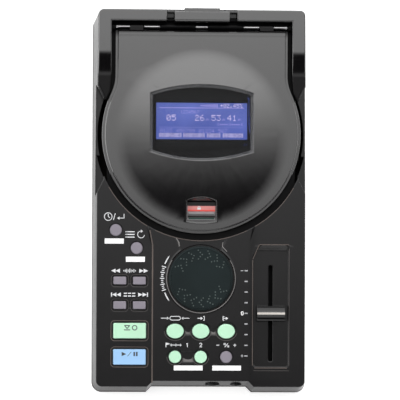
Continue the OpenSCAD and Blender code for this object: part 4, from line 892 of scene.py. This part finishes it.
def painted_edge_highlights():
    """Painted highlights along the edges of the panel's relief, lighter than the flats: dishes, steps, recess, well
    and bead.
    """
    highlight = Marks("painted_edge_highlights", "highlight", "case", 0.0)
    for node in ("cue_button", "play_button"):
        highlight.band(cap_outline(node, 1.95), cap_outline(node, 1.45))
    step, recess = -STEP_U - 0.45, FADER_U - 12.8
    highlight.thickness = CENTRE_RISE + INK
    highlight.bar(step, 51.0, 0.9, 96.8)
    highlight.line((step, 99.3), (step - 1.95, 109.6), 0.8)
    highlight.thickness = INK
    highlight.bar(recess, 52.0, 0.5, 74.0)
    highlight.line((recess, 89.6), (recess + 4.6, 99.9), 0.5)
    highlight.bar(FADER_U + 2.4, 99.9, 20.6, 0.5)
    highlight.bar(FADER_U, 13.3, 23.0, 0.5)
    for start, end in ((-150, -117.5), (-62.5, -30)):
        highlight.arc((0, DISC_V), WELL_RADIUS, start, end, 0.5)
    highlight.level = CENTRE_RISE
    highlight.arc((0, DISC_V), WELL_RADIUS, -115.5, -64.5, 0.45, 32)
    highlight.done()

    # dimmer painted highlights round the smaller keys and along the fader's recess
    dim = Marks("dim_edge_highlights", "highlight_painted_dim", "case", 0.0)
    for node in SQUARE_KEYS[2:]:
        dim.band(cap_outline(node, 1.75), cap_outline(node, 1.42))
    dim.bar(FADER_U + 0.5, 11.4, 25.0, 0.4)
    dim.bar(FADER_U + 12.9, 56.0, 0.4, 82.0)
    dim.level = CENTRE_RISE
    for node in OVAL_KEYS:
        outer, inner = cap_outline(node, 1.75), cap_outline(node, 1.15)
        half = len(outer) // 2
        dim.polygon(outer[half:] + inner[half:][::-1])
    dim.done()

    # bright painted highlights: the lit lower part of the bead round the dial, then the channels and the step
    light = Marks("bright_edge_highlights", "highlight_painted_bright", "case", BEAD_LEVEL, thickness=0.03)
    light.arc((0, DIAL_V), BEAD_RADIUS, 148, 392, 0.5, 64)

    # painted highlights on the curves in the channels between the keys, then on the corners of the step beside the
    # latch
    light.level = CENTRE_RISE - DISH
    for u, v, width in ((-8.7, 36.5, 5.2), (9.0, 36.5, 5.2), (-8.8, 17.3, 7.4)):
        for side in (-1, 1):
            points = [(u, v), (u + side * width / 2, v), (u + side * width / 2, v + 2.9),
                      (u + side * width / 4, v + 2.1), (u, v + 1.7)]
            light.polygon(points[::side])
    light.level = CENTRE_RISE
    light.polygon([(-15.6, 98.2), (-14.9, 98.4), (-15.3, 101.2), (-17.3, 104.6), (-18.1, 104.7), (-16.3, 101.4)])
    light.polygon([(14.6, 98.2), (18.1, 94.6), (18.4, 95.0), (15.2, 98.6), (15.6, 101.4), (15.1, 101.4)])
    light.done()


finish_nodes()
painted_dish_shade()
painted_edge_highlights()
label_plates()
key_labels()
dial_label()
tempo_scale()
big_key_marks()
dial_studs()
fader_line()
latch_marks()
display_figures()


# ------------------------------------------------------------------ camera, light and floor

PHOTO = 400                 # side of the square frame, in pixels
MM_PER_PIXEL = 0.7026       # at the middle of the panel
MID_V = 132.1               # the panel point that is seen at MID_PIXEL
MID_PIXEL = (201.3, 198.5)
DISTANCE = 2000             # from the panel to the camera, in millimetres
TILT_FRONT = 6.8            # degrees from the vertical towards the front
TILT_LEFT = 3.0
SENSOR = 36                 # width of the camera's sensor, in millimetres
FLOOR_HALF = 4              # half the floor's width, in metres
FLOOR_LIFT = 0.68           # light that the floor gives off towards the camera and mirrors, so it stays white


def make_camera():
    """The photograph's camera, nearly square to the panel."""
    data = bpy.data.cameras.new("camera")
    camera = bpy.data.objects.new("camera", data)
    bpy.context.scene.collection.objects.link(camera)
    bpy.context.scene.camera = camera
    back = Vector((-math.tan(math.radians(TILT_LEFT)), -math.tan(math.radians(TILT_FRONT)), 1)).normalized()
    right = Vector((0, 1, 0)).cross(back).normalized()
    up = back.cross(right)
    off = Vector((MID_PIXEL[0] - PHOTO / 2, PHOTO / 2 - MID_PIXEL[1])) * MM_PER_PIXEL * MM
    target = on_panel(0, MID_V) - right * off.x - up * off.y
    camera.matrix_world = Matrix((right, up, back)).transposed().to_4x4()
    camera.location = target + back * DISTANCE * MM
    data.sensor_width = SENSOR
    data.lens = SENSOR * DISTANCE / (PHOTO * MM_PER_PIXEL)
    data.clip_start = 0.05
    data.clip_end = 20


def make_floor():
    """A white floor as part of the stage."""
    mesh = bmesh.new()
    bmesh.ops.create_grid(mesh, x_segments=8, y_segments=8, size=FLOOR_HALF)
    data = bpy.data.meshes.new("floor")
    mesh.to_mesh(data)
    mesh.free()
    floor = bpy.data.objects.new("floor", data)
    bpy.context.scene.collection.objects.link(floor)
    material = bpy.data.materials.new("floor_white")
    material.use_nodes = True
    tree = material.node_tree
    bsdf = tree.nodes["Principled BSDF"]
    bsdf.inputs["Base Color"].default_value = (0.8, 0.8, 0.8, 1)
    bsdf.inputs["Roughness"].default_value = 0.9
    bsdf.inputs["Specular IOR Level"].default_value = 0.1
    rays = tree.nodes.new("ShaderNodeLightPath").outputs
    mirrored = arithmetic(tree, "MAXIMUM", rays["Is Glossy Ray"], rays["Is Transmission Ray"])
    seen = arithmetic(tree, "MAXIMUM", rays["Is Camera Ray"], mirrored)
    bsdf.inputs["Emission Color"].default_value = (1, 1, 1, 1)
    tree.links.new(arithmetic(tree, "MULTIPLY", seen, FLOOR_LIFT), bsdf.inputs["Emission Strength"])
    data.materials.append(material)


SKY_LOW, SKY_HIGH = 1.0, 0.0        # sky strength at the horizon and overhead
LAMPS = [                   # elevation, azimuth from the rear, inner and outer angle, strength
    (45, 0, 34, 57, 2.1),
    (28, -90, 10, 32, 2.4),
    (24, 90, 8, 26, 1.0),
    (30, 180, 8, 24, 1.2),
]


def make_world():
    """A plain studio sky, dim overhead, with a soft bright panel on each of the four sides."""
    world = bpy.data.worlds.new("studio")
    bpy.context.scene.world = world
    world.use_nodes = True
    tree = world.node_tree
    background = tree.nodes["Background"]
    coords = tree.nodes.new("ShaderNodeTexCoord").outputs["Generated"]
    total = remapped(tree, part_of(tree, coords, 2), (0.1, 0.6, SKY_LOW, SKY_HIGH), smooth=True)
    for elevation, azimuth, inner, outer, strength in LAMPS:
        up, turn = math.radians(elevation), math.radians(azimuth)
        facing = tree.nodes.new("ShaderNodeVectorMath")
        facing.operation = "DOT_PRODUCT"
        facing.inputs[1].default_value = (math.cos(up) * math.sin(turn), math.cos(up) * math.cos(turn), math.sin(up))
        tree.links.new(coords, facing.inputs[0])
        edges = [math.cos(math.radians(angle)) for angle in (outer, inner)]
        lamp = remapped(tree, facing.outputs["Value"], (*edges, 0.0, strength), smooth=True)
        total = arithmetic(tree, "ADD", total, lamp)
    tree.links.new(total, background.inputs["Strength"])
    background.inputs["Color"].default_value = (1, 1, 1, 1)


make_camera()
make_floor()
make_world()
bpy.context.scene.view_settings.view_transform = "Standard"
